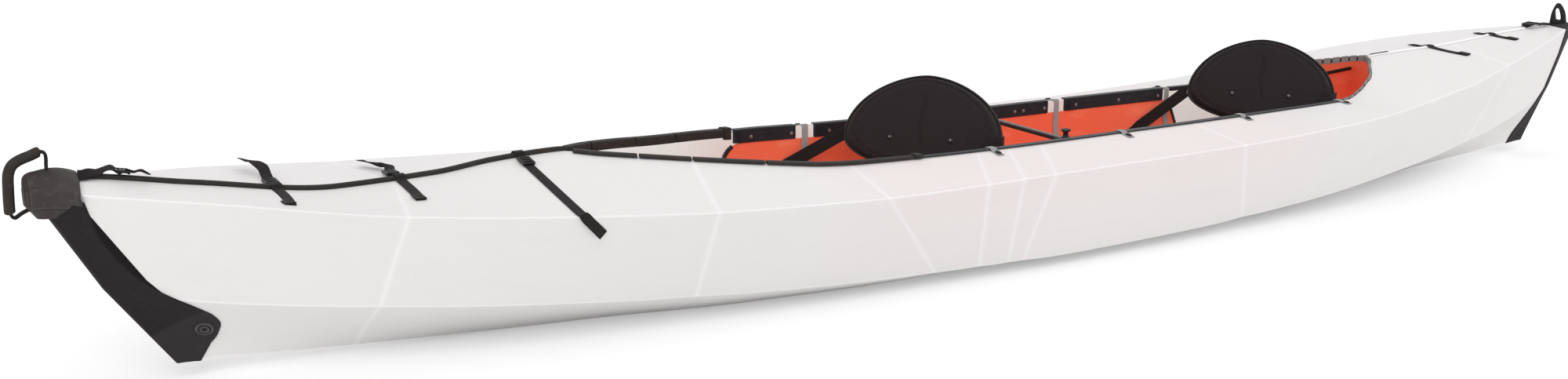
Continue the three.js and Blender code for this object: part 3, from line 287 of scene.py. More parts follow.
def floor_point(x, y, lift):
    """A point on the inner face of the bottom at a place, raised by lift."""
    floor, chine = section(share_at("floor", x), SHEET)[:2]
    if abs(y) <= floor.y:
        return Vector((x, y, floor.z + lift))
    t = (abs(y) - floor.y) / (chine.y - floor.y)
    return Vector((x, y, mix(floor.z, chine.z, t) + lift))


# Shader building.


class Link:
    """An output of a shader node; sums, differences and products of links add Math nodes."""

    def __init__(self, finish, socket):
        self.finish = finish
        self.socket = socket

    def math(self, operation, first, second=0.0):
        return self.finish.node("ShaderNodeMath", {"operation": operation}, {0: first, 1: second})

    def __add__(self, other):
        return self.math("ADD", self, other)

    def __radd__(self, other):
        return self.math("ADD", other, self)

    def __sub__(self, other):
        return self.math("SUBTRACT", self, other)

    def __mul__(self, other):
        return self.math("MULTIPLY", self, other)

    def sine(self):
        return self.math("SINE", self)

    def size(self):
        return self.math("ABSOLUTE", self)

    def below(self, limit, softness):
        """1 well under the limit, 0 well over it, with a soft step between."""
        settings = {"interpolation_type": "SMOOTHSTEP"}
        inputs = {0: self, 1: limit - softness, 2: limit + softness, 3: 1.0, 4: 0.0}
        return self.finish.node("ShaderNodeMapRange", settings, inputs)


class Finish:
    """A material: its shader, and the values that feed it."""

    def __init__(self, name, **uniform):
        self.material = bpy.data.materials.new(name)
        self.material.use_nodes = True
        self.tree = self.material.node_tree
        self.shader = self.tree.nodes["Principled BSDF"]
        for socket, value in uniform.items():
            self.shader.inputs[socket.replace("_", " ")].default_value = value

    def node(self, kind, settings, inputs, output=0):
        made = self.tree.nodes.new(kind)
        for name, value in settings.items():
            setattr(made, name, value)
        for key, value in inputs.items():
            if isinstance(value, Link):
                self.tree.links.new(value.socket, made.inputs[key])
            else:
                made.inputs[key].default_value = value
        return Link(self, made.outputs[output])

    def place(self):
        return self.node("ShaderNodeTexCoord", {}, {}, "Object")

    def axis(self, name):
        return self.node("ShaderNodeSeparateXYZ", {}, {0: self.place()}, name)

    def slant(self, x_factor, z_factor):
        return self.axis("X") * x_factor + self.axis("Z") * z_factor

    def value_of(self, name):
        return self.node("ShaderNodeAttribute", {"attribute_name": name}, {}, "Fac")

    def noise(self, scale, detail, stretch=(1, 1, 1)):
        place = self.node("ShaderNodeMapping", {}, {"Vector": self.place(), "Scale": stretch})
        return self.node("ShaderNodeTexNoise", {}, {"Vector": place, "Scale": scale, "Detail": detail})

    def cells(self, scale, stretch=(1, 1, 1)):
        place = self.node("ShaderNodeMapping", {}, {"Vector": self.place(), "Scale": stretch})
        return self.node("ShaderNodeTexVoronoi", {}, {"Vector": place, "Scale": scale}, "Distance")

    def blend(self, factor, first, second):
        inputs = {0: factor, 6: first, 7: second}
        return self.node("ShaderNodeMix", {"data_type": "RGBA"}, inputs, 2)

    def feed(self, socket, link):
        self.tree.links.new(link.socket, self.shader.inputs[socket])

    def bump(self, height, distance, strength):
        inputs = {"Height": height, "Distance": distance, "Strength": strength}
        self.feed("Normal", self.node("ShaderNodeBump", {}, inputs))


def colour(r, g, b):
    """A colour as it is seen, turned into the linear values that the shader takes."""
    parts = [c / 255 for c in (r, g, b)]
    return tuple(c / 12.92 if c <= 0.04045 else ((c + 0.055) / 1.055) ** 2.4 for c in parts) + (1.0,)


def paler(shade, factor):
    return tuple(min(1.0, part * factor) for part in shade[:3]) + (1.0,)


# Pitch of the twin wall's flutes, and how far the bright middle and the pale edges of the painted highlight along a
# score line reach.
FLUTE = 0.0052
SCORE_MIDDLE = (0.0022, 0.0016)
SCORE_EDGES = (0.0075, 0.0060)


def sheet_finish():
    """White twin-wall plastic sheet: fine flutes, pressed score lines with painted highlights, painted light from
    inside, and a little dirt.
    """
    finish = Finish("white_sheet", IOR=1.49, Roughness=0.42, Specular_IOR_Level=0.3, Emission_Strength=0.36)
    flutes = (finish.value_of("across") * (TURN / FLUTE)).sine()
    cloud = finish.noise(2.2, 3.0)
    grain = finish.noise(60.0, 2.0, (0.08, 1, 1))
    score = None
    for i in range(len(CREASES)):
        off = finish.value_of("fold_%d" % i).size()
        near = off.below(*SCORE_MIDDLE) * 0.5 + off.below(*SCORE_EDGES) * 0.5
        score = near if score is None else score + near
    base = finish.blend(cloud, colour(232, 230, 229), colour(235, 232, 232))
    base = finish.blend(grain * 0.16, base, colour(214, 212, 212))
    # Painted light: a pinkish tint where the orange lining's light shines through the sheet.
    base = finish.blend(finish.value_of("glow"), base, colour(244, 203, 192))
    # Painted highlight: paler along the long folds (bend) and along the score lines.
    base = finish.blend(finish.value_of("bend") * 0.8 + score * 0.42, base, colour(252, 251, 251))
    scuff = finish.noise(9.0, 6.0, (0.35, 1, 1)).below(0.36, 0.03)
    base = finish.blend(scuff * 0.03, base, colour(190, 187, 184))
    finish.feed("Base Color", base)
    # Painted light: the inner face glows a pale grey, standing in for light coming through the sheet.
    finish.feed("Emission Color", finish.blend(finish.value_of("inside"), colour(0, 0, 0), colour(206, 226, 224)))
    finish.feed("Roughness", 0.36 + cloud * 0.12 + grain * 0.08)
    finish.bump(flutes * 0.12 + cloud * 0.5 - score * 1.2 + grain * 0.2, 0.0005, 0.5)
    return finish


def orange_finish():
    """Orange twin-wall sheet, a little paler where it has been folded and rubbed, and glowing faintly as painted light.
    """
    finish = Finish("orange_sheet", IOR=1.49, Roughness=0.48, Specular_IOR_Level=0.25, Emission_Strength=0.10)
    flutes = (finish.axis("Z") * (TURN / FLUTE)).sine()
    cloud = finish.noise(5.0, 3.0)
    rub = finish.noise(26.0, 5.0, (0.3, 1, 1)).below(0.38, 0.04)
    base = finish.blend(cloud, colour(237, 100, 68), colour(241, 112, 82))
    base = finish.blend(rub * 0.22, base, colour(247, 150, 120))
    finish.feed("Base Color", base)
    # Painted light: the sheet glows faintly in its own colour.
    finish.feed("Emission Color", base)
    finish.feed("Roughness", 0.42 + cloud * 0.14)
    finish.bump(flutes * 0.25 + cloud * 0.5, 0.0004, 0.5)
    return finish


# How soft the edges of patches and seams are, and how many half widths a seam's pale lip, a painted highlight, lies
# beside it.
PATCH_SOFT = 0.0008
SEAM_SOFT = 0.0006
HIGHLIGHT_AWAY = 2.4
SEAM_SHADE = colour(14, 12, 13)


def moulded_finish(name, dark, light, roughness, grain=900.0, depth=0.00012, patch=None, seams=()):
    """Moulded plastic or rubber: a fine pebbled skin, paler where handling has worn it.

    A patch is (x factor, z factor, limit, colour) for the part of the skin under a slanted line.
    A seam is (x factor, z factor, place, half width) for a dark line along such a slant, with a pale lip beside it as a
    painted highlight.
    """
    finish = Finish(name, IOR=1.48, Roughness=roughness, Specular_IOR_Level=0.22)
    pebble = finish.cells(grain)
    cloud = finish.noise(18.0, 4.0)
    wear = finish.noise(70.0, 6.0).below(0.40, 0.05)
    base = finish.blend(cloud, dark, light)
    base = finish.blend(wear * 0.25, base, paler(light, 1.9))
    if patch:
        *way, limit, shade = patch
        base = finish.blend(finish.slant(*way).below(limit, PATCH_SOFT), base, shade)
    for *way, place, half in seams:
        slant = finish.slant(*way)
        line = (slant - place).size().below(half, SEAM_SOFT)
        base = finish.blend(line * 0.7, base, SEAM_SHADE)
        # Painted highlight: a pale lip beside the seam's dark line.
        lip = (slant - (place + half * HIGHLIGHT_AWAY)).size().below(half, PATCH_SOFT)
        base = finish.blend(lip * 0.35, base, paler(light, 2.2))
    finish.feed("Base Color", base)
    finish.feed("Roughness", roughness - 0.08 + cloud * 0.16 + wear * 0.05)
    finish.bump(pebble + cloud * 0.8, depth, 0.6)
    return finish


# Webbing: pitch of its ribs, of the zigzag in them, and of its warp threads.
PICK = 0.0021
ZIGZAG = 0.0042
WARP = 0.0016


def webbing_finish(name, dark, light):
    """Flat webbing: ribs across it, a zigzag of warp threads along it, and bound edges."""
    finish = Finish(name, Roughness=0.88, Sheen_Weight=0.04, Specular_IOR_Level=0.15)
    run, side = finish.value_of("run"), finish.value_of("side")
    ribs = (run * (TURN / PICK) + (side * (TURN / ZIGZAG)).sine() * 1.4).sine()
    warp = (side * (TURN / WARP)).sine()
    weave = ribs * 0.6 + warp * 0.4
    dust = finish.noise(120.0, 4.0)
    base = finish.blend(weave * 0.35 + 0.5, dark, light)
    base = finish.blend(dust * 0.18, base, paler(light, 1.6))
    finish.feed("Base Color", base)
    finish.feed("Roughness", 0.82 + dust * 0.12)
    finish.bump(weave + dust * 0.5, 0.00035, 0.7)
    return finish


def padding_finish():
    """Close-knit cover of the seats: small stitches in rows, soft folds of colour."""
    finish = Finish("seat_padding", Roughness=0.8, Sheen_Weight=0.05, Specular_IOR_Level=0.22)
    stitches = finish.cells(420.0, (1, 1, 0.7))
    cloud = finish.noise(7.0, 4.0)
    fuzz = finish.noise(260.0, 3.0)
    base = finish.blend(cloud, colour(37, 31, 33), colour(48, 41, 43))
    base = finish.blend(stitches * 0.35, colour(30, 25, 27), base)
    base = finish.blend(fuzz * 0.08, base, colour(84, 76, 76))
    finish.feed("Base Color", base)
    finish.feed("Roughness", 0.86 + fuzz * 0.1)
    finish.bump(stitches + fuzz * 0.6 + cloud, 0.0006, 0.65)
    return finish


def metal_finish():
    """Brushed steel of the bolts."""
    finish = Finish("brushed_bolt", Metallic=0.9, Roughness=0.35)
    grain = finish.noise(400.0, 3.0, (1, 0.1, 1))
    finish.feed("Base Color", finish.blend(grain, colour(120, 118, 116), colour(170, 168, 165)))
    finish.feed("Roughness", 0.26 + grain * 0.2)
    finish.bump(grain, 0.00008, 0.5)
    return finish


WHITE = sheet_finish()
ORANGE = orange_finish()
TRIM = moulded_finish("rubber_trim", colour(36, 33, 31), colour(50, 46, 43), 0.6)
RAIL = moulded_finish("rail_plastic", colour(29, 31, 35), colour(43, 44, 49), 0.42, 1300.0, 0.00006)
# Grey of the painted highlight along the near rail's lip; the crossbar's pale cover uses it too.
LIP = moulded_finish("rail_lip", colour(96, 94, 94), colour(118, 115, 114), 0.5, 1300.0, 0.00006)
RIM_GREY = moulded_finish("rim_blocks", colour(112, 109, 107), colour(138, 135, 133), 0.5, 700.0)
# The stem cover is paler over its foot, under this slanted line, which also has a seam with a painted highlight.
SLANT = -0.600
SLANT_AT = 1.4459
SEAM_HALF = 0.0009
# The cap has a level seam and an upright one, each with a painted highlight beside it.
CAP_SEAMS = [(0.0, 1.0, 0.4135, SEAM_HALF), (1.0, 0.0, -2.4300, SEAM_HALF)]
FAIRING = moulded_finish("fairing_rubber", colour(27, 23, 26), colour(35, 31, 34), 0.72, 520.0, 0.0003,
                         (SLANT, 1.0, SLANT_AT, colour(45, 41, 43)), [(SLANT, 1.0, SLANT_AT, SEAM_HALF)])
BOLT_BLACK = moulded_finish("bolt_black", colour(11, 9, 9), colour(18, 16, 16), 0.3, 1800.0, 0.00003)
STUD_BLACK = moulded_finish("fairing_stud", colour(66, 62, 64), colour(82, 77, 79), 0.45, 1500.0, 0.00005)
CAP = moulded_finish("cap_plastic", colour(50, 46, 45), colour(66, 61, 59), 0.5, 800.0, seams=CAP_SEAMS)
BLACK_WEB = webbing_finish("black_webbing", colour(22, 20, 20), colour(42, 39, 38))
GREY_WEB = webbing_finish("grey_webbing", colour(128, 128, 128), colour(172, 172, 172))
PADDING = padding_finish()
BOLT = metal_finish()
BUCKLE = moulded_finish("buckle_plastic", colour(22, 20, 20), colour(34, 31, 31), 0.38, 1500.0, 0.00005)
GREY_THREAD = moulded_finish("thread", colour(92, 88, 86), colour(120, 116, 113), 0.8)


# Mesh building.


class Shape:
    """Closed bodies gathered into one piece."""

    def __init__(self):
        self.mesh = bmesh.new()

    def layer(self, name):
        """A value for each vertex, which a finish can read by its name."""
        layers = self.mesh.verts.layers.float
        return layers.get(name) or layers.new(name)

    def loft(self, rings, closed=False):
        """Body through rings of points, with a face over each end unless it is closed."""
        rows = [[self.mesh.verts.new(p) for p in ring] for ring in rings]
        count = len(rows[0])
        pairs = list(zip(rows, rows[1:])) + ([(rows[-1], rows[0])] if closed else [])
        for a, b in pairs:
            for j in range(count):
                k = (j + 1) % count
                self.mesh.faces.new((a[j], a[k], b[k], b[j]))
        if not closed:
            self.mesh.faces.new(rows[0][::-1])
            self.mesh.faces.new(rows[-1])
        return rows

    def box(self, centre, size, frame=Matrix.Identity(3)):
        """Block of a size about its centre, turned by a frame."""
        half = Vector(size) / 2
        signs = [(-1, -1), (1, -1), (1, 1), (-1, 1)]
        rings = []
        for end in (-1, 1):
            corners = [Vector((half.x * sx, half.y * sy, half.z * end)) for sx, sy in signs]
            rings.append([Vector(centre) + frame @ c for c in corners])
        return self.loft(rings)

    def turned(self, profile, centre, axis, steps, stretch=1.0, along=None):
        """Body turned about an axis from (radius, height) points, which start and end on the axis."""
        axis = Vector(axis).normalized()
        first = (Vector(along) if along else axis.orthogonal()).normalized()
        second = axis.cross(first)
        rings = []
        for radius, height in profile[1:-1]:
            spokes = [first * (c * stretch) + second * s for c, s in circle(steps)]
            rings.append([Vector(centre) + spoke * radius + axis * height for spoke in spokes])
        return self.loft(rings)

    def tube(self, points, radius, sides):
        """Round body along points; radius is a function of the share of the way along."""
        normal = heading(points, 0).normalized().orthogonal().normalized()
        rings = []
        for i, point in enumerate(points):
            tangent = heading(points, i).normalized()
            normal = (normal - tangent * normal.dot(tangent)).normalized()
            other = tangent.cross(normal)
            r = radius(i / (len(points) - 1))
            rings.append([point + (normal * c + other * s) * r for c, s in circle(sides)])
        return self.loft(rings)

    def hoop(self, points, up, radius, sides, inset=0.0):
        """Round bead along a closed flat line, whose plane's normal is up."""
        rings = []
        for i, point in enumerate(points):
            tangent = (points[(i + 1) % len(points)] - points[i - 1]).normalized()
            out = tangent.cross(up).normalized()
            rings.append([point - out * inset + (out * c + up * s) * radius for c, s in circle(sides)])
        return self.loft(rings, closed=True)

    def band(self, controls, width, thick, step=0.004):
        """Flat webbing through (point, across) controls, with its weave's run and side recorded."""
        places, ways = [[Vector(pair[k]) for pair in controls] for k in (0, 1)]
        points = spline(places, step)
        marks = spread(places, points)
        run_layer, side_layer = self.layer("run"), self.layer("side")
        half, t = width / 2, thick / 2
        outline = [(-half, 0), (-half + t, t), (-half / 3, t * 1.08), (half / 3, t * 1.08)]
        outline += [(half - t, t), (half, 0), (half - t, -t), (0, -t), (-half + t, -t)]
        run, rings, runs = 0.0, [], []
        for i, point in enumerate(points):
            tangent = heading(points, i).normalized()
            across = blend_between(ways, marks[i])
            across = (across - tangent * across.dot(tangent)).normalized()
            normal = tangent.cross(across)
            rings.append([point + across * a + normal * n for a, n in outline])
            run += (point - points[i - 1]).length if i else 0.0
            runs.append(run)
        rows = self.loft(rings)
        for row, run in zip(rows, runs):
            for vert, (a, _) in zip(row, outline):
                vert[run_layer] = run
                vert[side_layer] = a

    def piece(self, name, finish, body="hull", slot=None, stands_for=(), bevel=0.0, angle=38):
        """Makes the object, gives it its finish, and lets it ride on its body."""
        bmesh.ops.recalc_face_normals(self.mesh, faces=self.mesh.faces)
        data = bpy.data.meshes.new(name)
        self.mesh.to_mesh(data)
        self.mesh.free()
        data.shade_smooth()
        if not bevel:
            data.set_sharp_from_angle(angle=math.radians(angle))
        made = bpy.data.objects.new(name, data)
        bpy.context.scene.collection.objects.link(made)
        data.materials.append(finish.material)
        if bevel:
            edge = made.modifiers.new("soft_edges", "BEVEL")
            edge.width = bevel
            edge.segments = 2
            edge.limit_method = "ANGLE"
            edge.angle_limit = math.radians(angle)
            made.modifiers.new("even_shading", "WEIGHTED_NORMAL")
        if body:
            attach(made, body)
        if stands_for:
            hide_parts(*stands_for)
        return made


def circle(sides):
    return [(math.cos(TURN * k / sides), math.sin(TURN * k / sides)) for k in range(sides)]


def spline(points, step):
    """Points about a step apart on a smooth curve through the given ones."""
    ahead = [points[0] * 2 - points[1], *points, points[-1] * 2 - points[-2]]
    made = []
    for i in range(1, len(ahead) - 2):
        a, b, c, d = ahead[i - 1 : i + 3]
        count = max(1, round((c - b).length / step))
        for k in range(count):
            t = k / count
            made.append(
                b + (c - a) * (0.5 * t) + (a * 2 - b * 5 + c * 4 - d) * (0.5 * t * t)
                + (b * 3 - a - c * 3 + d) * (0.5 * t**3)
            )
    return made + [points[-1].copy()]


def spread(controls, points):
    """For each point of a spline, how many controls lie before it, with the share to the next."""
    marks, near = [], 0
    for point in points:
        while near < len(controls) - 2 and (point - controls[near + 1]).length < 1e-9:
            near += 1
        span = (controls[near + 1] - controls[near]).length
        away = (point - controls[near]).length
        if near < len(controls) - 2 and (point - controls[near + 1]).length + away > span * 1.6:
            near += 1
            away = (point - controls[near]).length
            span = (controls[near + 1] - controls[near]).length
        marks.append(near + min(away / max(span, 1e-9), 1.0))
    return marks


def blend_between(values, mark):
    """Value at a mark, which counts the values before it with the share to the next."""
    i = min(int(mark), len(values) - 2)
    return values[i].lerp(values[i + 1], mark - i)


# Camera.


def make_camera():
    data = bpy.data.cameras.new("photo_camera")
    data.sensor_width = SENSOR_WIDTH
    data.lens = FOCAL_PIXELS / IMAGE_WIDTH * SENSOR_WIDTH
    data.clip_end = 100
    camera = bpy.data.objects.new("photo_camera", data)
    bpy.context.scene.collection.objects.link(camera)
    camera.location = EYE
    level = math.cos(PITCH)
    forward = Vector((math.cos(YAW) * level, math.sin(YAW) * level, math.sin(PITCH)))
    camera.rotation_euler = forward.to_track_quat("-Z", "Y").to_euler()
    bpy.context.scene.camera = camera


make_camera()

# Hull: one folded sheet.

HULL_NODES = [
    "hull_bottom", "hull_chine_port", "hull_chine_starboard", "hull_side_port", "hull_side_starboard",
    "deck_port", "deck_starboard",
]
FOLD_DIP = 0.0004
FOLD_NEAR = 0.0025
FOLD_REACH = 0.0065
HULL_STEP = 0.011
HULL_MIDDLE = 0.22
# Painted light of the orange lining shining through the sheet: where it shows, over how much of the length and
# the height it comes in, how strong it is, and its share on the outer face and the inner.
GLOW_SPAN = (-0.82, 0.95)
GLOW_FADE = 0.25
GLOW_RISE = (0.05, 0.2)
GLOW = 0.34
GLOW_OUTSIDE = 0.35
GLOW_INSIDE = 0.08
PANEL_COUNTS = [6, 8, 9]


def crease_dip(x, places):
    """How far the sheet dips at x, where places is each fold's own place at that height."""
    return sum(deep * math.exp(-abs(x - at) / reach) for at, (*_, deep, reach) in zip(places, CREASES))


def across_steps(length, count):
    """Shares across a panel: close together beside its first fold and its last, even between."""
    near = min(FOLD_NEAR, 0.1 * length) / length
    far = min(FOLD_REACH, 0.22 * length) / length
    even = [mix(far, 1 - far, i / count) for i in range(count + 1)]
    return [0.0, near, *even, 1 - near]


def half_section(share):
    """The starboard half's rows, from the keel line to the deck's edge.

    A row is (outer point, inner point, way across, fold places, fade, bend).
    """
    outer, inner = section(share), section(share, SHEET)
    rows = []
    keel_out, keel_in = outer[0].copy(), inner[0].copy()
    keel_out.y = keel_in.y = 0
    folds_x = [[row[3 - k] for row in CREASES] for k in range(4)]
    for t in (0.0, 0.5):
        rows.append((keel_out.lerp(outer[0], t), keel_in.lerp(inner[0], t), outer[0].y * t, folds_x[0], 0.0, 0.0))
    start = outer[0].y
    for panel, count in enumerate(PANEL_COUNTS):
        low_out, high_out, low_in, high_in = outer[panel], outer[panel + 1], inner[panel], inner[panel + 1]
        length = (high_out - low_out).length
        for t in across_steps(length, count):
            near_fold = min(t, 1 - t) * length
            # Closeness to a fold: it sinks the sheet a little there and drives the painted highlight along the folds.
            bend = max(0.0, 1 - near_fold / FOLD_REACH) ** 2
            fade = [t, 1.0, 1 - t][panel]
            places = [mix(a, b, t) for a, b in zip(folds_x[panel], folds_x[panel + 1])]
            low, high = low_out.lerp(high_out, t), low_in.lerp(high_in, t)
            rows.append((low, high, start + t * length, places, fade, bend))
        start += length
    rows.append((outer[3], inner[3], start, folds_x[3], 0.0, 0.0))
    return rows


def make_hull():
    count = round((REACH["edge"][0] + REACH["edge"][1]) / HULL_STEP)
    shares = [-1 + 2 * i / count for i in range(count + 1)]
    shape = Shape()
    names = ["across", "glow", "inside", "bend"] + ["fold_%d" % i for i in range(len(CREASES))]
    layers = [shape.layer(name) for name in names]
    rings, marks = [], []
    for share in shares:
        half = half_section(share)
        full = [(row, -1) for row in reversed(half)] + [(row, 1) for row in half[1:]]
        outer_ring, inner_ring, outer_marks, inner_marks = [], [], [], []
        for (out, inn, across, places, fade, bend), side in full:
            swing = Vector((0, out.y * 2.4, (out.z - HULL_MIDDLE) * 5)).normalized()
            push = crease_dip(out.x, places) * fade
            sink = (inn - out).normalized() * FOLD_DIP * bend
            lit = painted_glow_at(out.x, out.z)
            outside = (out, outer_ring, outer_marks, GLOW_OUTSIDE, 0.0)
            inside = (inn, inner_ring, inner_marks, GLOW_INSIDE, 1.0)
            for point, ring, mark, seen, within in (outside, inside):
                moved = point - swing * push + sink
                ring.append(Vector((moved.x, side * moved.y, moved.z)))
                mark.append([across, lit * seen, within, bend] + [point.x - at for at in places])
        rings.append(outer_ring + inner_ring[::-1])
        marks.append(outer_marks + inner_marks[::-1])
    rows = [[shape.mesh.verts.new(p) for p in ring] for ring in rings]
    size = len(rows[0])
    for row, mark in zip(rows, marks):
        for vert, values in zip(row, mark):
            for layer, value in zip(layers, values):
                vert[layer] = value
    for a, b in zip(rows, rows[1:]):
        for j in range(size):
            k = (j + 1) % size
            shape.mesh.faces.new((a[j], a[k], b[k], b[j]))
    for row in (rows[0], rows[-1]):
        for j in range(size // 2 - 1):
            shape.mesh.faces.new((row[j], row[j + 1], row[size - 2 - j], row[size - 1 - j]))
    return shape.piece("hull_sheet", WHITE, slot="sheet", stands_for=HULL_NODES, angle=50)


def painted_glow_at(x, z):
    """How much painted orange light from the lining, shining through the translucent sheet, shows at a place."""
    first, last = GLOW_SPAN
    low, rise = GLOW_RISE
    return GLOW * clamp((x - first) / GLOW_FADE) * clamp((last - x) / GLOW_FADE) * clamp((z - low) / rise)


make_hull()


# Rails and trims along the deck's edge. A section is given as (inboard, up) from the edge.


def edge_rings(points, outline, side):
    rings = []
    for i, point in enumerate(points):
        inboard = UP.cross(heading(points, i)).normalized() * -side
        rings.append([point + inboard * a + UP * b for a, b in outline])
    return rings


def edge_bead(shape, start, end, side, outline, step=0.012):
    line = [hull_point("edge", share, side) for share in shares_along(start, end, step)]
    shape.loft(edge_rings(line, outline, side))


TRIM_OUTLINE = [
    (-0.015, 0.0003), (-0.0152, 0.0040), (-0.0125, 0.0066), (-0.0060, 0.0073), (0.0035, 0.0073), (0.0082, 0.0055),
    (0.0093, 0.0015), (0.0093, -0.0150), (0.0080, -0.0160), (0.0003, -0.0160), (0.0003, 0.0003),
]
TRIM_END_OUTLINE = [
    (-0.017, 0.0003), (-0.0172, 0.0070), (-0.0130, 0.0103), (0.0090, 0.0103), (0.0113, 0.0070), (0.0113, -0.0210),
    (0.0100, -0.0220), (0.0003, -0.0220), (0.0003, 0.0003),
]
TRIM_FRONT = -1.2615
TRIM_END_LENGTH = 0.022
TRIM_GAP = 0.004
TRIM_BREAKS = {"port": (-0.430, [-1.130, -1.010, -0.845]), "starboard": (-0.712, [-1.185, -1.040, -0.905])}


def make_trim(name, side):
    rear, breaks = TRIM_BREAKS[name]
    shape = Shape()
    starts = [TRIM_FRONT] + [b + TRIM_GAP / 2 for b in breaks]
    ends = [b - TRIM_GAP / 2 for b in breaks] + [rear - TRIM_END_LENGTH]
    for start, end in zip(starts, ends):
        edge_bead(shape, start, end, side, TRIM_OUTLINE)
    edge_bead(shape, rear - TRIM_END_LENGTH, rear, side, TRIM_END_OUTLINE, 0.006)
    shape.piece("trim_" + name, TRIM, slot="trim", stands_for=["coaming_trim_" + name], bevel=0.0010)


LEG_OUTLINE = [
    (0.0003, 0.0003), (0.0003, -0.034), (0.0093, -0.034), (0.0093, 0.0028), (0.0003, 0.0033), (-0.0022, 0.0033),
    (-0.0022, 0.0003),
]
THIN_LEG = [
    (0.0003, 0.0003), (0.0003, -0.009), (0.0093, -0.009), (0.0093, 0.0028), (-0.0022, 0.0033), (-0.0022, 0.0003),
]
LIP_OUTLINE = [(-0.0026, 0.0003), (-0.0026, 0.0028), (-0.0110, 0.0026), (-0.0120, 0.0012), (-0.0120, 0.0003)]
# Inner part of the near rail's lip, which carries the painted highlight.
PAINTED_HIGHLIGHT_LIP = [(-0.0026, 0.0003), (-0.0026, 0.0028), (-0.0070, 0.0028), (-0.0072, 0.0003)]
DARK_EDGE = [(-0.0076, 0.0003), (-0.0076, 0.0030), (-0.0112, 0.0028), (-0.0122, 0.0014), (-0.0122, 0.0003)]
BOX_OUTLINE = [
    (-0.0120, 0.0003), (-0.0120, 0.0033), (0.0075, 0.0033), (0.0093, 0.0015), (0.0093, -0.0330), (0.0080, -0.034),
    (0.0003, -0.034), (0.0003, 0.0003),
]
RIDGE_OUTLINE = [(0.0093, -0.0105), (0.0101, -0.0112), (0.0101, -0.0126), (0.0093, -0.0133)]
FAR_RAILS = [(-0.700, -0.505), (-0.445, 0.355), (0.420, 0.800)]
THIN_RAIL_SPAN = (0.832, 1.130)
NEAR_RAIL_SPAN = (-0.4288, 1.130)
FAR_BOLTS = [-0.645, -0.519, -0.400, -0.020, 0.232, 0.263, 0.341, 0.460, 0.625, 0.780]
NEAR_BOLTS = [-0.380, -0.060, 0.140, 0.430, 0.560, 0.860, 0.980]
BOLT_DROP = 0.019
BOLT_PROFILE = [
    (0, 0), (0.0052, 0), (0.0052, 0.0010), (0.0046, 0.0020), (0.0024, 0.0026), (0.0022, 0.0018), (0, 0.0018),
]
COMB_TOOTH = (0.0042, 0.0020, 0.0260)
COMB_PITCH = 0.0085


def rail_bolts(name, places, side):
    shape = Shape()
    for x in places:
        point = hull_point_at("edge", x, side) + Vector((0, -side * 0.0093, -BOLT_DROP))
        shape.turned(BOLT_PROFILE, point, (0, -side, 0), 18)
    shape.piece("bolts_" + name, BOLT, slot="rail")


def make_rails():
    near = Shape()
    edge_bead(near, *NEAR_RAIL_SPAN, -1, LEG_OUTLINE)
    edge_bead(near, *NEAR_RAIL_SPAN, -1, DARK_EDGE)
    near.piece("rail_port", RAIL, slot="rail", stands_for=["gunwale_rail_port"], bevel=0.0007)
    # Painted highlight: a pale grey strip along the near rail's lip, beside the rail's black outer edge.
    lip = Shape()
    edge_bead(lip, *NEAR_RAIL_SPAN, -1, PAINTED_HIGHLIGHT_LIP)
    lip.piece("rail_lip_highlight_port", LIP, slot="rail")
    for i, (start, end) in enumerate(FAR_RAILS):
        box = Shape()
        edge_bead(box, start, end, 1, BOX_OUTLINE)
        edge_bead(box, start + 0.012, end - 0.012, 1, RIDGE_OUTLINE)
        for k in range(3):
            tooth = hull_point_at("edge", start + 0.004 + k * COMB_PITCH)
            box.box(tooth + Vector((0, -0.0104, -0.0160)), COMB_TOOTH)
        box.piece("rail_starboard_%d" % (i + 1), RAIL, slot="rail",
                  stands_for=["gunwale_rail_starboard_%d" % (i + 1)], bevel=0.0007)
    thin = Shape()
    edge_bead(thin, *THIN_RAIL_SPAN, 1, THIN_LEG)
    edge_bead(thin, *THIN_RAIL_SPAN, 1, LIP_OUTLINE)
    thin.piece("rail_starboard_4", RAIL, slot="rail", stands_for=["gunwale_rail_starboard_4"], bevel=0.0007)
    rail_bolts("starboard", FAR_BOLTS, 1)
    rail_bolts("port", NEAR_BOLTS, -1)


for side_name, hull_side in SIDES.items():
    make_trim(side_name, hull_side)
make_rails()

# Rim around the rear of the cockpit: grey blocks threaded on a dark band.

RIM_FRONT = 1.146
RIM_TIP_SHARE = 0.597
RIM_INSET = 0.0006
RIM_BLOCK = 0.0225
RIM_BLOCK_GAP = 0.0045
RIM_STEP = 0.0045


def rim_path():
    first = share_at("edge", RIM_FRONT)
    starboard = [hull_point("edge", mix(first, RIM_TIP_SHARE, i / 60)) for i in range(61)]
    return mirrored(starboard) + starboard[::-1]


def even_path(points, step):
    """The same line with points an even step apart."""
    lengths = [0.0]
    for a, b in zip(points, points[1:]):
        lengths.append(lengths[-1] + (b - a).length)
    count = round(lengths[-1] / step)
    made, k = [], 0
    for i in range(count + 1):
        want = lengths[-1] * i / count
        while k < len(lengths) - 2 and lengths[k + 1] < want:
            k += 1
        t = (want - lengths[k]) / max(lengths[k + 1] - lengths[k], 1e-9)
        made.append(points[k].lerp(points[k + 1], t))
    return made


def rim_outline(thick, low, top):
    outer, inner = RIM_INSET, RIM_INSET + thick
    return [(outer, low), (outer, top), (inner, top), (inner, low)]


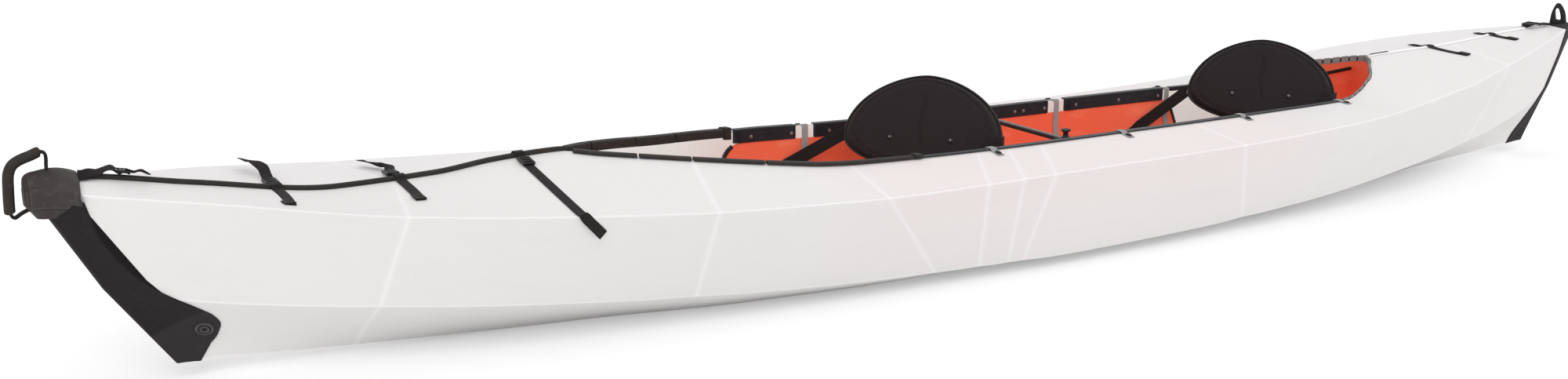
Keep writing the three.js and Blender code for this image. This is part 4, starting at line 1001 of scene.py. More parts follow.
def make_rim():
    path = even_path(rim_path(), RIM_STEP)
    band = Shape()
    band.loft(edge_rings(path, rim_outline(0.0060, -0.012, 0.002), -1))
    band.piece("rim_band", TRIM, slot="trim", bevel=0.0006)
    blocks = Shape()
    block_steps = round(RIM_BLOCK / RIM_STEP)
    gap_steps = round(RIM_BLOCK_GAP / RIM_STEP)
    k = 1
    while k + block_steps < len(path) - 1:
        blocks.loft(edge_rings(path[k : k + block_steps + 1], rim_outline(0.0080, -0.014, 0.005), -1))
        k += block_steps + gap_steps
    blocks.piece("rim_blocks", RIM_GREY, slot="rim_grey", stands_for=["cockpit_rear_rim"], bevel=0.0014)


make_rim()

# Seam rail on the bow deck and welded ridge on the stern deck.


SEAM_RAIL = [
    (0.0072, 0.0007), (0.0072, 0.0070), (0.0056, 0.0096), (0.0016, 0.0100), (0.0009, 0.0092), (-0.0009, 0.0092),
    (-0.0016, 0.0100), (-0.0056, 0.0096), (-0.0072, 0.0070), (-0.0072, 0.0007), (-0.0013, 0.0007),
    (-0.0013, -0.0043), (0.0013, -0.0043), (0.0013, 0.0007),
]
SEAM_RIDGE = [
    (0.0060, 0.0007), (0.0048, 0.0032), (0.0020, 0.0046), (-0.0020, 0.0046), (-0.0048, 0.0032), (-0.0060, 0.0007),
    (-0.0013, 0.0007), (-0.0013, -0.0043), (0.0013, -0.0043), (0.0013, 0.0007),
]
SEAM_GASKET = [(0.0030, 0.0046), (0.0026, 0.0066), (-0.0026, 0.0066), (-0.0030, 0.0046)]


def seam_rings(start, end, outline):
    rings = []
    for share in shares_along(start, end):
        seam = hull_point("edge", share)
        rings.append([Vector((seam.x, y, seam.z + z)) for y, z in outline])
    return rings


def make_seams():
    rail = Shape()
    rail.loft(seam_rings(-2.325, -1.262, SEAM_RAIL))
    rail.piece("seam_rail_bow", TRIM, slot="trim", stands_for=["bow_seam_rail"], bevel=0.0005)
    ridge = Shape()
    ridge.loft(seam_rings(1.475, 2.325, SEAM_RIDGE))
    ridge.piece("seam_ridge_stern", WHITE, slot="sheet", stands_for=["stern_seam_rail"], bevel=0.0004)
    gasket = Shape()
    gasket.loft(seam_rings(1.478, 1.560, SEAM_GASKET))
    gasket.piece("ridge_gasket", TRIM, slot="trim", bevel=0.0005)


make_seams()

# Webbing over the cockpit's edge, with an oval stud in each.

NEAR_STRAPS = [-0.205, 0.240, 0.690, 1.117]
FAR_STRAPS = [-0.475, 0.388, 0.816]
EDGE_STRAP = 0.020
EDGE_STRAP_THICK = 0.002
STUD_INSET = 0.013
STRAP_REACH = 0.046
# A strap's line over a rail and over the bare edge: lip, top, leg and drop.
OVER_RAIL = (0.0128, 0.0046, 0.0108, 0.046)
OVER_EDGE = (0.0030, 0.0018, 0.0070, 0.135)
STUD_PROFILE = [
    (0, -0.0004), (0.0098, -0.0004), (0.0100, 0.0016), (0.0084, 0.0032), (0.0050, 0.0038), (0.0042, 0.0030),
    (0, 0.0030),
]


def edge_strap(name, x, side, on_rail):
    edge = hull_point_at("edge", x, side)

    def at(inboard, up):
        return Vector((x, edge.y - side * inboard, edge.z + up))

    def on_deck(outboard):
        return deck_point(x, edge.y + side * outboard, 0.0018)

    lip, top, leg, drop = OVER_RAIL if on_rail else OVER_EDGE
    line = [on_deck(STRAP_REACH), on_deck(STRAP_REACH * 0.75), on_deck(STRAP_REACH / 2), on_deck(lip + 0.006)]
    line += [at(-lip + 0.001, top), at(-lip * 0.3, top), at(leg * 0.7, top - 0.0002), at(leg, top - 0.004)]
    line += [at(leg + 0.0002, -drop * f) for f in (0.35, 0.6, 0.8, 1.0)]
    if not on_rail:
        hang = random.Random(name).uniform(0.002, 0.006)
        line[-2] += Vector((hang, -side * 0.001, 0))
        line[-1] += Vector((hang * 1.6, side * 0.001, 0))
    shape = Shape()
    shape.band([(p, (1, 0, 0)) for p in line], EDGE_STRAP, EDGE_STRAP_THICK, 0.003)
    shape.piece(name, GREY_WEB, slot="grey_webbing", stands_for=[name.replace("edge_strap", "gunwale_strap")])
    stud = Shape()
    seat = deck_point(x, edge.y + side * (STRAP_REACH - STUD_INSET), 0.0028)
    normal = (deck_point(x, edge.y + side * 0.06) - deck_point(x, edge.y + side * 0.02)).cross(Vector((1, 0, 0)))
    normal = normal if normal.z > 0 else -normal
    stud.turned(STUD_PROFILE, seat, normal, 24, 0.72, (1, 0, 0))
    stud.piece(name.replace("strap", "stud"), BUCKLE, slot="trim")


for number, place in enumerate(NEAR_STRAPS):
    edge_strap("edge_strap_port_%d" % (number + 1), place, -1, True)
for number, place in enumerate(FAR_STRAPS):
    edge_strap("edge_strap_starboard_%d" % (number + 1), place, 1, False)

# Lining: orange sheets on the sides, floor and ends of the cockpit.

PANEL_SPAN = (-0.738, 0.826)
PANEL_SLOPE_END = 0.925
PANEL_CORNER = 0.062
PANEL_THICK = 0.005
RAIL_DROP = 0.034
FLOOR_ROOM = 0.0008
LINER_SPAN = (1.165, 1.600)
LINER_HALF = 0.172
LINER_TOPS = (0.659 * SHEER_HEIGHT, 0.716 * SHEER_HEIGHT)
LINER_CORNER = 0.045
RIB_PITCH = 0.0078
RIB = (0.0060, 0.0094, 0.0096)
RIB_DEPTH = 0.0024
WALL_STEP = 0.011
BULKHEAD_X = -1.330
FLOORBOARDS = {"floorboard_front": (-1.240, 0.020), "floorboard_rear": (0.026, 1.300)}


def wall_ring(x, side, outer, low, top):
    middle = outer - PANEL_THICK / 2
    inner = outer - PANEL_THICK
    round_off = PANEL_THICK / 4
    points = [(outer, low), (outer, mix(low, top, 0.5)), (outer, top - round_off), (middle, top)]
    points += [(inner, top - round_off), (inner, mix(low, top, 0.5)), (inner, low)]
    return [Vector((x, side * y, z)) for y, z in points]


def corner_drop(behind, radius):
    """How far a rounded corner lies below the top, at a distance behind the front."""
    into = radius - min(behind, radius)
    return radius - math.sqrt(radius * radius - into * into)


def panel_levels(x):
    """(outer y, low, top) of the cockpit's side lining."""
    first, last = PANEL_SPAN
    edge = hull_point_at("edge", x)
    outer = edge.y - GAP
    low = floor_point(x, outer, FLOOR_ROOM).z
    top = edge.z - RAIL_DROP - LAY - corner_drop(x - first, PANEL_CORNER)
    if x > last:
        top = mix(top, low + 0.02, (x - last) / (PANEL_SLOPE_END - last))
    return outer, low, top


def liner_levels(x):
    """(outer y, low, top) of the wall behind the rear seat."""
    first, last = LINER_SPAN
    low = floor_point(x, LINER_HALF, FLOOR_ROOM).z
    top = mix(*LINER_TOPS, (x - first) / (last - first)) - corner_drop(x - first, LINER_CORNER)
    return LINER_HALF, low, top


def places_between(start, end, corner):
    """Places along a wall: close together round its front corner, even behind it."""
    close = [start + corner * (1 - math.cos(QUARTER_TURN * i / 9)) for i in range(9)]
    count = round((end - start - corner) / WALL_STEP)
    return close + [mix(start + corner, end, i / count) for i in range(count + 1)]


def edging(name, path):
    """Ribbed rubber edging along (x, y, z) points."""
    shape = Shape()
    path = even_path([Vector(p) for p in path], RIB_PITCH)
    for before, after in zip(path, path[1:]):
        tangent = (after - before).normalized()
        normal = tangent.cross(Vector((0, 1, 0))).normalized()
        frame = Matrix((tangent, Vector((0, 1, 0)), normal)).transposed()
        shape.box((before + after) / 2, RIB, frame)
        shape.box((before + after) / 2, (RIB_PITCH, RIB[1] - RIB_DEPTH, RIB[2] - RIB_DEPTH), frame)
    shape.piece(name, TRIM, slot="trim", bevel=0.0006)


def make_lining(name, side):
    first, last = PANEL_SPAN
    wall = Shape()
    places = places_between(first, PANEL_SLOPE_END, PANEL_CORNER)
    wall.loft([wall_ring(x, side, *panel_levels(x)) for x in places])
    wall.piece("lining_" + name, ORANGE, slot="orange", stands_for=["side_panel_" + name])

    def top_point(x):
        outer, _, top = panel_levels(x)
        return x, side * (outer - PANEL_THICK / 2), top - 0.0015

    _, low, top = panel_levels(first)
    upright = [(first + 0.001, top_point(first)[1], mix(low + 0.004, top, i / 6)) for i in range(6)]
    arc = [top_point(first + PANEL_CORNER * (1 - math.cos(QUARTER_TURN * i / 14))) for i in range(1, 11)]
    edging("edging_front_" + name, upright + arc)
    slant = [top_point(mix(last + 0.010, PANEL_SLOPE_END - 0.004, i / 8)) for i in range(9)]
    edging("edging_rear_" + name, slant)


def bulkhead(shape, x):
    corners = [hull_point_at(corner, x, 1, SHEET + LAY) for corner in CORNERS]
    half = [Vector((0, p.y, p.z)) for p in corners]
    ring = half + mirrored(half[::-1])
    shape.loft([[p + Vector((x + dx, 0, 0)) for p in ring] for dx in (-PANEL_THICK / 2, PANEL_THICK / 2)])


def floorboard(name, start, end):
    shape = Shape()
    rings = []
    for share in shares_along(start, end, 0.02, "floor"):
        floor = hull_point("floor", share, 1, SHEET)
        half = max(floor.y - 0.008, 0.008)
        low, high = floor.z + GAP, floor.z + GAP + PANEL_THICK
        rings.append([Vector((floor.x, y, z)) for y, z in ((-half, low), (half, low), (half, high), (-half, high))])
    shape.loft(rings)
    shape.piece(name, ORANGE, slot="orange", stands_for=[name], bevel=0.0010)


def make_inside():
    for name, side in SIDES.items():
        make_lining(name, side)
    front = Shape()
    bulkhead(front, BULKHEAD_X)
    front.piece("front_bulkhead", ORANGE, slot="orange", stands_for=["bulkhead_front"], bevel=0.0008)
    liner = Shape()
    bulkhead(liner, LINER_SPAN[1])
    places = places_between(LINER_SPAN[0], LINER_SPAN[1] - 0.003, LINER_CORNER)
    for side in (-1, 1):
        liner.loft([wall_ring(x, side, *liner_levels(x)) for x in places])
    liner.piece("rear_lining", ORANGE, slot="orange", stands_for=["rear_liner"])
    for name, side in SIDES.items():
        path = [(x, side * (LINER_HALF - PANEL_THICK / 2), liner_levels(x)[2] - 0.0015)
                for x in places_between(LINER_SPAN[0] + 0.0005, LINER_SPAN[1] - 0.006, LINER_CORNER)]
        edging("edging_stowage_" + name, path)
    for name, span in FLOORBOARDS.items():
        floorboard(name, *span)


make_inside()

# Footrests, which slide on the floorboards.

FOOTREST_PLACES = {"front": -0.950, "rear": 0.330}
FOOTREST_HALF = 0.098
FOOTREST_HEIGHT = 0.084
FOOTREST_RADIUS = 0.011
FOOTREST_FOOT = (0.070, 0.018, 0.006)
# Half width of a post at its foot and from its middle up, and half its thickness.
POST_HALVES = (0.017, 0.0105)
POST_HALF_THICK = 0.003


def floor_top(x):
    return hull_point_at("floor", x, 1, SHEET).z + GAP + PANEL_THICK


def make_footrest(name):
    base = Vector((FOOTREST_PLACES[name], 0, floor_top(FOOTREST_PLACES[name])))
    half = FOOTREST_HALF
    shape = Shape()
    ends = [(0.0, 0), (0.0085, 0), (0.0100, 0.001), (0.0100, 2 * half - 0.001), (0.0085, 2 * half), (0.0, 0)]
    shape.turned(ends, base + Vector((0, -half, FOOTREST_HEIGHT)), (0, 1, 0), 24)
    for side in (-1, 1):
        y = side * (half - 0.006)
        shape.box(base + Vector((0, y, FOOTREST_FOOT[2] / 2)), FOOTREST_FOOT)
        wide, narrow = POST_HALVES
        rings = []
        for z, reach in ((0.0055, wide), (FOOTREST_HEIGHT / 2, narrow), (FOOTREST_HEIGHT, narrow)):
            corners = [(-reach, -1), (reach, -1), (reach, 1), (-reach, 1)]
            rings.append([base + Vector((x, y + POST_HALF_THICK * dy, z)) for x, dy in corners])
        shape.loft(rings)
    shape.piece("footrest_" + name, RAIL, body="footrest_" + name, slot="rail",
                stands_for=["footrest_" + name], bevel=0.0010)
    sleeve = Shape()
    length = 2 * half - 0.036
    ribs = [(FOOTREST_RADIUS - (0.0008 if i % 2 else 0.0), length * i / 24) for i in range(25)]
    sleeve.turned([(0, 0), *ribs, (0, length)], base + Vector((0, -length / 2, FOOTREST_HEIGHT)), (0, 1, 0), 28)
    sleeve.piece("footrest_sleeve_" + name, TRIM, body="footrest_" + name, slot="trim")


for footrest in FOOTREST_PLACES:
    make_footrest(footrest)

# Cross bar with a clamp under each rail, and its knobs.

BAR_X = 0.085
BAR_BELOW = 0.014
BAR_ROOM = 0.0005
RAIL_LEG = 0.009
KNOB_INBOARD = 0.034
# (along the hull, off a full width or across, up) of the bar, its clamps, their feet and its pale cover.
BAR_SIZE = (0.016, -0.010, 0.0084)
BAR_COVER = (0.0134, -0.018, 0.0036)
CLAMP = (0.034, 0.008, 0.024)
CLAMP_FOOT = (0.020, 0.018, 0.005)


def make_crossbar():
    edge = hull_point_at("edge", BAR_X)
    half = edge.y - GAP - RAIL_LEG - BAR_ROOM
    height = edge.z - BAR_BELOW

    def across(shape, lift, size):
        long, less, tall = size
        shape.box((BAR_X, 0, height + lift), (long, 2 * half + less, tall))

    bar = Shape()
    across(bar, -0.0018, BAR_SIZE)
    for side in (-1, 1):
        bar.box((BAR_X, side * (half - CLAMP[1] / 2), height), CLAMP)
        bar.box((BAR_X, side * (half - 0.015), height - 0.0085), CLAMP_FOOT)
    bar.piece("crossbar", TRIM, slot="trim", stands_for=["crossbar"], bevel=0.0012)
    cover = Shape()
    across(cover, 0.0042, BAR_COVER)
    cover.piece("crossbar_cover", LIP, slot="trim", bevel=0.0010)
    bolts = Shape()
    for side in (-1, 1):
        for x in (-0.011, 0.011):
            seat = Vector((BAR_X + x, side * (half - 0.008), height + 0.005))
            bolts.turned(BOLT_PROFILE, seat, (0, -side, 0), 14)
    bolts.piece("crossbar_bolts", BOLT, slot="trim")
    for name, side in SIDES.items():
        make_knob(name, Vector((BAR_X, side * (half - KNOB_INBOARD), height + 0.0063)))


KNOB_PROFILE = [
    (0.0108, 0.0), (0.0110, 0.0010), (0.0110, 0.0028), (0.0098, 0.0046), (0.0076, 0.0060), (0.0070, 0.0085),
    (0.0070, 0.0150), (0.0078, 0.0168), (0.0106, 0.0182), (0.0128, 0.0198), (0.0130, 0.0212), (0.0128, 0.0232),
    (0.0114, 0.0246), (0.0076, 0.0249), (0.0070, 0.0243), (0.0012, 0.0241),
]
KNOB_GRIPS = 12
KNOB_STEPS = 72
GRIP_HEIGHTS = (0.0195, 0.0240)
GRIP_DEPTH = 0.0006


def make_knob(name, foot):
    """Mushroom knob: wide foot, waist, and a cap with shallow grips."""
    low, high = GRIP_HEIGHTS
    shape = Shape()
    rings = []
    for radius, height in KNOB_PROFILE:
        depth = GRIP_DEPTH if low < height < high else 0.0
        ring = []
        for i, (c, s) in enumerate(circle(KNOB_STEPS)):
            reach = radius - depth * max(0.0, math.cos(TURN * KNOB_GRIPS * i / KNOB_STEPS))
            ring.append(foot + Vector((reach * c, reach * s, height)))
        rings.append(ring)
    shape.loft(rings)
    shape.piece("knob_" + name, RAIL, body="knob_" + name, slot="rail", stands_for=["crossbar_knob_" + name])


make_crossbar()

# Rubber covers over the stem and the stern, following the hull's own skin.

FAIRING_EDGE = [
    (0.044, 0.884), (0.145, 0.877), (0.22, 0.868), (0.279, 0.866), (0.334, 0.872), (0.396, 0.888), (0.495, 0.917),
    (0.60, 0.937), (0.70, 0.950), (0.791, 0.9585), (0.94, 0.967),
]
STRIP_EDGE = [
    (0.044, 0.894), (0.136, 0.898), (0.268, 0.916), (0.365, 0.934), (0.475, 0.95), (0.585, 0.961), (0.769, 0.97),
    (1.011, 0.963),
]
COVER_ROWS = 44
COVER_COLUMNS = 34
NOSE_STEPS = 6
COVER_EDGE = [(0.0, 0.30), (0.0008, 0.72), (0.0020, 1.05), (0.0040, 1.22), (0.0085, 1.22), (0.0105, 1.0)]
FAIRING_TOP = 0.940 * SHEER_HEIGHT


def skin_at(share, level):
    """Point of the hull's skin: level 0 is the floor fold, 1 the chine, 2 the gunwale, 3 the deck's edge."""
    corners = section(share)
    i = min(int(level), 2)
    return corners[i].lerp(corners[i + 1], level - i)


def level_of(share, z):
    """The level, as skin_at takes it, of the skin's point at a height."""
    return sum(span_of(z, [p.z for p in section(share)]))


def edge_place(end, table):
    """How far along the hull a cover's edge lies at a height."""
    reach = REACH["gunwale"][0 if end < 0 else 1]
    heights = [z * SHEER_HEIGHT for z, _ in table]
    places = [end * x * reach for _, x in table]
    return smooth(heights, places)


def cover_grid(end, table, top, nose):
    """Skin points from the cover's edge to the middle of its nose, row by row, and each one's way from the edge."""
    border = edge_place(end, table)
    grid, ways = [], []
    for r in range(-1, COVER_ROWS + 1):
        v = max(r, 0) / COVER_ROWS

        def spot(share):
            highest = 3 if top is None else level_of(share, top)
            return skin_at(share, highest * v)

        inner, outer = 0.80 * end, 1.0 * end
        for _ in range(24):
            share = (inner + outer) / 2
            point = spot(share)
            if (point.x - border(min(point.z, table[-1][0] * SHEER_HEIGHT))) * end < 0:
                inner = share
            else:
                outer = share
        line = []
        for c in range(COVER_COLUMNS + 1):
            t = c / COVER_COLUMNS
            line.append(spot(mix(outer, end, t * t * 0.35 + t * 0.65)))
        tip = line[-1]
        for k in range(1, NOSE_STEPS + 1):
            angle = QUARTER_TURN * k / NOSE_STEPS
            line.append(Vector((tip.x + end * nose * math.sin(angle), tip.y * math.cos(angle), tip.z)))
        if r < 0:
            line = [Vector((p.x, 0, p.z)) for p in line]
        far = [0.0]
        for a, b in zip(line, line[1:]):
            far.append(far[-1] + (b - a).length)
        grid.append(line)
        ways.append(far)
    return grid, ways


def rim_share(way):
    """Thickness of a moulded cover near its edge: rounded off, then a low raised border."""
    for (a, low), (b, high) in zip(COVER_EDGE, COVER_EDGE[1:]):
        if way < b:
            return mix(low, high, (way - a) / (b - a))
    return 1.0


def end_cover(name, end, table, top, thick, nose, node):
    grid, ways = cover_grid(end, table, top, nose)
    last = len(grid[0]) - 1
    whole = [line + mirrored(line[:-1][::-1]) for line in grid]
    far = [way + way[:-1][::-1] for way in ways]
    count, width = len(whole), len(whole[0])
    outer, inner = [], []
    for i in range(count):
        outer_line, inner_line = [], []
        for j in range(width):
            along = whole[i][min(j + 1, width - 1)] - whole[i][max(j - 1, 0)]
            up = whole[min(i + 1, count - 1)][j] - whole[max(i - 1, 0)][j]
            normal = along.cross(up)
            if normal.length < 1e-12:
                normal = Vector((end, 0, 0))
            normal.normalize()
            if normal.dot(Vector((end * 0.4, whole[i][j].y, (whole[i][j].z - 0.25) * 0.2))) < 0:
                normal = -normal
            if i == 0:
                normal = Vector((0, 0, -1))
            if j == last:
                normal = Vector((normal.x, 0, normal.z)).normalized()
            outer_line.append(whole[i][j] + normal * (LAY + thick * rim_share(far[i][j])))
            inner_line.append(whole[i][j] + normal * LAY)
        outer.append(outer_line)
        inner.append(inner_line)
    shape = Shape()
    shape.loft([[line[j] for line in outer] + [line[j] for line in reversed(inner)] for j in range(width)])
    shape.piece(name, FAIRING, slot="fairing", stands_for=[node], angle=40)


# Thickness over the skin, and how far the nose reaches ahead of the hull's end.
end_cover("stem_fairing", -1, FAIRING_EDGE, FAIRING_TOP, 0.0034, 0.0110, "bow_fairing")
end_cover("stern_cover", 1, STRIP_EDGE, None, 0.0030, 0.0150, "stern_strip")

STUD = [
    (0, -0.001), (0.0188, -0.001), (0.0190, 0.0022), (0.0178, 0.0034), (0.0142, 0.0038), (0.0136, 0.0028),
    (0.0104, 0.0028), (0.0098, 0.0042), (0.0060, 0.0047), (0.0052, 0.0039), (0.0012, 0.0041), (0, 0.0041),
]
# Dark middle and ring of a stud.
STUD_MARKS = [
    [(0, 0.0030), (0.0046, 0.0030), (0.0046, 0.0051), (0, 0.0051)],
    [(0, 0.0020), (0.0138, 0.0020), (0.0138, 0.0040), (0, 0.0040)],
]
STUD_PLACE = (-0.879 * REACH["gunwale"][0], 0.268 * SHEER_HEIGHT)
STUD_LIFT = 0.0040


def fairing_studs():
    """A stud on each side of the stem cover, with its dark marks."""
    x, z = STUD_PLACE
    share = -0.9
    for _ in range(40):
        share -= (lean_place(share, z) - x) * 0.3
    level = level_of(share, z)
    point = skin_at(share, level)
    along = skin_at(share - 0.004, level) - skin_at(share + 0.004, level)
    up = skin_at(share, level + 0.02) - skin_at(share, level - 0.02)
    normal = along.cross(up).normalized()
    normal = normal if normal.y > 0 else -normal
    shape, marks = Shape(), Shape()
    for side in (-1, 1):
        seat = Vector((point.x, side * point.y, point.z))
        out = Vector((normal.x, side * normal.y, normal.z))
        seat += out * STUD_LIFT
        shape.turned(STUD, seat, out, 40)
        for mark in STUD_MARKS:
            marks.turned(mark, seat, out, 40)
    shape.piece("fairing_studs", STUD_BLACK, slot="fairing")
    marks.piece("fairing_stud_marks", BOLT_BLACK, slot="fairing")


fairing_studs()

# Cap over the top of the stem.

CAP_REAR = -0.966 * REACH["edge"][0]
CAP_LOW = 0.930 * SHEER_HEIGHT
CAP_FLAP = (-2.354, -2.396, 0.049)
CAP_THICK = 0.0068
CAP_FRONT = [(0.374, -2.393), (0.3875, -2.4165), (0.411, -2.433), (0.421, -2.4405), (0.476, -2.4395), (0.520, -2.4360)]
CAP_DOME = (0.007, 0.008, 0.016)
CAP_STEPS = 26
CAP_NOSE_STEPS = 8
CAP_RAKE = 0.016
# Height and span over which the cap's rake grows downward, height and span over which its crown grows upward, and
# the height above which its nose is rounded down.
CAP_RAKED = (0.470, 0.045)
CAP_CROWNED = (0.442, 0.022)
CAP_DOME_LOW = 0.455
FLAP_CLEAR = 0.0045


def cap_path(share, out, low):
    """Round the hull from low on the port side, over the deck, to low on the starboard side, grown by out."""
    _, chine, gunwale, edge = section(share)
    side = (gunwale - chine).normalized()
    normal = Vector((0, side.z, -side.y))
    base = chine.lerp(gunwale, (low - chine.z) / (gunwale.z - chine.z))
    half = [base.lerp(gunwale, t) + normal * out for t in (0.0, 0.06, 0.25, 0.5, 0.75, 0.9)]
    for angle in (0.15, 0.4, 0.65, 0.85):
        half.append(gunwale + (normal * (1 - angle) + UP * angle).normalized() * out)
    for t in (0.12, 0.35, 0.6, 0.85):
        half.append(gunwale.lerp(edge, t) + UP * out)
    return mirrored(half) + [Vector((edge.x, 0, edge.z + out))] + half[::-1]


def front_of_cap(z):
    """How far forward the cap's nose reaches at a height."""
    for (low, low_x), (high, high_x) in zip(CAP_FRONT, CAP_FRONT[1:]):
        if z <= high:
            return mix(low_x, high_x, max((z - low) / (high - low), 0))
    return CAP_FRONT[-1][1]


def crowned(ring, rise):
    """The ring with its top lifted by rise, and its sides left as they are."""
    low, span = CAP_CROWNED
    return [Vector((p.x, p.y, p.z + rise * clamp((p.z - low) / span))) for p in ring]


def make_cap():
    first = share_at("edge", CAP_REAR)
    rings = []
    behind, tip, deep = CAP_FLAP
    raked, span = CAP_RAKED
    for i in range(CAP_STEPS + 1):
        share = mix(first, -1, i / CAP_STEPS)
        flap = 0.0
        for _ in range(4):
            x = lean_place(share, CAP_LOW - flap)
            flap = deep * clamp((behind - x) / (behind - tip))
        rounding = [0.55, 0.9][i] if i < 2 else 1.0
        rise = CAP_DOME[0] + CAP_DOME[1] * math.sin(math.pi * i / CAP_STEPS)
        outer = crowned(cap_path(share, CAP_THICK * rounding, CAP_LOW - flap), rise * rounding)
        rake = CAP_RAKE * max(0.0, 1 - i / 14)
        inner = cap_path(share, LAY, CAP_LOW - flap)
        if flap:
            lifted = cap_path(share, FLAP_CLEAR, CAP_LOW - flap)
            inner[0], inner[-1] = lifted[0], lifted[-1]
        for p in outer + inner:
            p.x -= rake * clamp((raked - p.z) / span)
        rings.append(outer + inner[::-1])
    size = len(rings[0]) // 2
    stem_outer, stem_inner = rings[-1][:size], rings[-1][size:]
    for k in range(1, CAP_NOSE_STEPS + 1):
        angle = QUARTER_TURN * k / CAP_NOSE_STEPS
        shrink = max(math.cos(angle) ** 0.55, 0.04)
        moved = []
        for p in stem_outer:
            drop = (1 - math.cos(angle)) * CAP_DOME[2] * (1 if p.z > CAP_DOME_LOW else 0)
            moved.append(Vector((mix(p.x, front_of_cap(p.z), math.sin(angle)), p.y * shrink, p.z - drop)))
        inside = [Vector((p.x - 0.0004 * k, p.y * max(shrink, 0.3), p.z)) for p in stem_inner]
        rings.append(moved + inside)
    shape = Shape()
    shape.loft(rings)
    shape.piece("stem_cap", CAP, slot="cap", stands_for=["bow_cap"], angle=42)


make_cap()

# Carrying handle at the stem: a foam grip on webbing that leaves the cap's top and front.

HANDLE_PATH = [
    (0.990, 1.042), (0.990, 1.085), (0.9895, 1.122), (0.9903, 1.147), (0.9945, 1.1535), (1.0011, 1.1407),
    (1.0095, 1.1255), (1.0154, 1.1057), (1.0185, 1.076), (1.0197, 1.042), (1.02, 1.0176), (1.0206, 0.9673),
    (1.021, 0.9068), (1.0205, 0.8875), (1.0178, 0.8714), (1.0115, 0.8903), (1.0045, 0.9060),
]
PATH_STEP = 0.003
GRIP_PART = (0.215, 0.815)
GRIP_RADIUS = 0.0108
GRIP_END = 0.0045
HANDLE_WEB = (0.0165, 0.0060)


def smooth_path(points):
    """Even points on a smooth curve through (x, z) points in the middle plane."""
    return even_path(spline([Vector((x, 0, z)) for x, z in points], PATH_STEP), PATH_STEP)


def make_handle():
    reach = REACH["gunwale"][0]
    path = smooth_path([(-x * reach, z * SHEER_HEIGHT) for x, z in HANDLE_PATH])
    first, last = [round(share * (len(path) - 1)) for share in GRIP_PART]
    grip = Shape()

    def radius(t):
        ends = min(t, 1 - t) * (last - first) * PATH_STEP
        rounded = math.sqrt(1 - max(0.0, 1 - ends / GRIP_END) ** 2)
        return GRIP_RADIUS * (0.62 + 0.38 * rounded)

    grip.tube(path[first : last + 1], radius, 30)
    grip.piece("handle_grip", TRIM, body="bow_handle", slot="trim", stands_for=["bow_handle_grip"], angle=60)
    web = Shape()
    for part in (path[: first + 2], path[last - 2 :]):
        web.band([(p, (0, 1, 0)) for p in part[::2]], *HANDLE_WEB, PATH_STEP)
    web.piece("handle_webbing", BLACK_WEB, body="bow_handle", slot="black_webbing", stands_for=["bow_handle_webbing"])


make_handle()

# Loop at the stern: webbing sewn into a flat ring on a round hem.

LOOP_OUTLINE = [(2.372, 0), (2.381, 0.040), (2.402, 0.066), (2.424, 0.062), (2.450, 0.034), (2.462, 0)]
LOOP_HOLE = [(2.404, 0.013), (2.397, 0.046), (2.417, 0.046), (2.432, 0.011)]
LOOP_HINGE = 0.4368
LOOP_HALF = 0.0025
LOOP_STEPS = 60
# The loop's section, from the hole out: share of the way, and share of the half thickness.
LOOP_SECTION = [(0.0, 0.6), (0.12, 1.0), (0.5, 1.0), (0.88, 1.0), (1.0, 0.6)]
LOOP_PIN = [(0, 0), (0.0022, 0), (0.0025, 0.0008), (0.0025, 0.0892), (0.0022, 0.09), (0, 0.09)]


def make_loop():
    outline, hole = [
        smooth_path([(x, z + LOOP_HINGE) for x, z in points]) for points in (LOOP_OUTLINE, LOOP_HOLE + LOOP_HOLE[:1])
    ]
    hole.pop()
    middle = sum(hole, Vector()) / len(hole)

    def ray(points, angle):
        """Furthest point of a closed line in a direction from the hole's middle."""
        way = Vector((math.cos(angle), 0, math.sin(angle)))
        best = 0.0
        for a, b in zip(points, points[1:] + points[:1]):
            d = b - a
            det = way.x * -d.z + way.z * d.x
            if abs(det) < 1e-12:
                continue
            to = a - middle
            t = (to.x * -d.z + to.z * d.x) / det
            u = (way.x * to.z - way.z * to.x) / det
            if t > 0 and -1e-6 <= u <= 1 + 1e-6:
                best = max(best, t)
        return middle + way * best

    shape = Shape()
    run, side = shape.layer("run"), shape.layer("side")
    rings = []
    for i in range(LOOP_STEPS):
        angle = TURN * i / LOOP_STEPS
        out, inn = ray(outline, angle), ray(hole, angle)
        ring = [inn.lerp(out, t) + Vector((0, y * LOOP_HALF, 0)) for t, y in LOOP_SECTION]
        rings.append(ring + mirrored(ring[::-1]))
    rows = shape.loft(rings, closed=True)
    for i, row in enumerate(rows):
        for j, vert in enumerate(row):
            vert[run] = i * 0.0030
            vert[side] = (j % 5) * 0.003 - 0.006
    shape.turned(LOOP_PIN, (LOOP_OUTLINE[0][0], 0, LOOP_HINGE), (1, 0, 0), 20)
    shape.piece("stern_webbing_loop", BLACK_WEB, body="stern_loop", slot="black_webbing", stands_for=["stern_loop"])


make_loop()

# Loose webbing across the decks, with ladder buckles.

DECK_WEB = 0.024
DECK_WEB_THICK = 0.0020
SEAM_TOP = LAY + 0.0100 + 0.0014
RIDGE_TOP = LAY + 0.0046 + 0.0014
DECK_LIFT = 0.0020
SIDE_BAR = (0.0044, 0.0058)
# Place along a buckle, as a share of its length, and height of each cross bar.
CROSS_BARS = [(-0.46, 0.0060), (-0.12, 0.0042), (0.16, 0.0042), (0.46, 0.0074)]
TAB_LENGTH = 0.036
STITCH_WIDTH = 0.018
STITCH_HEIGHT = 0.0056
# How far to the side a strap has to be for the whole of its sway.
SWAY_FROM = 0.15
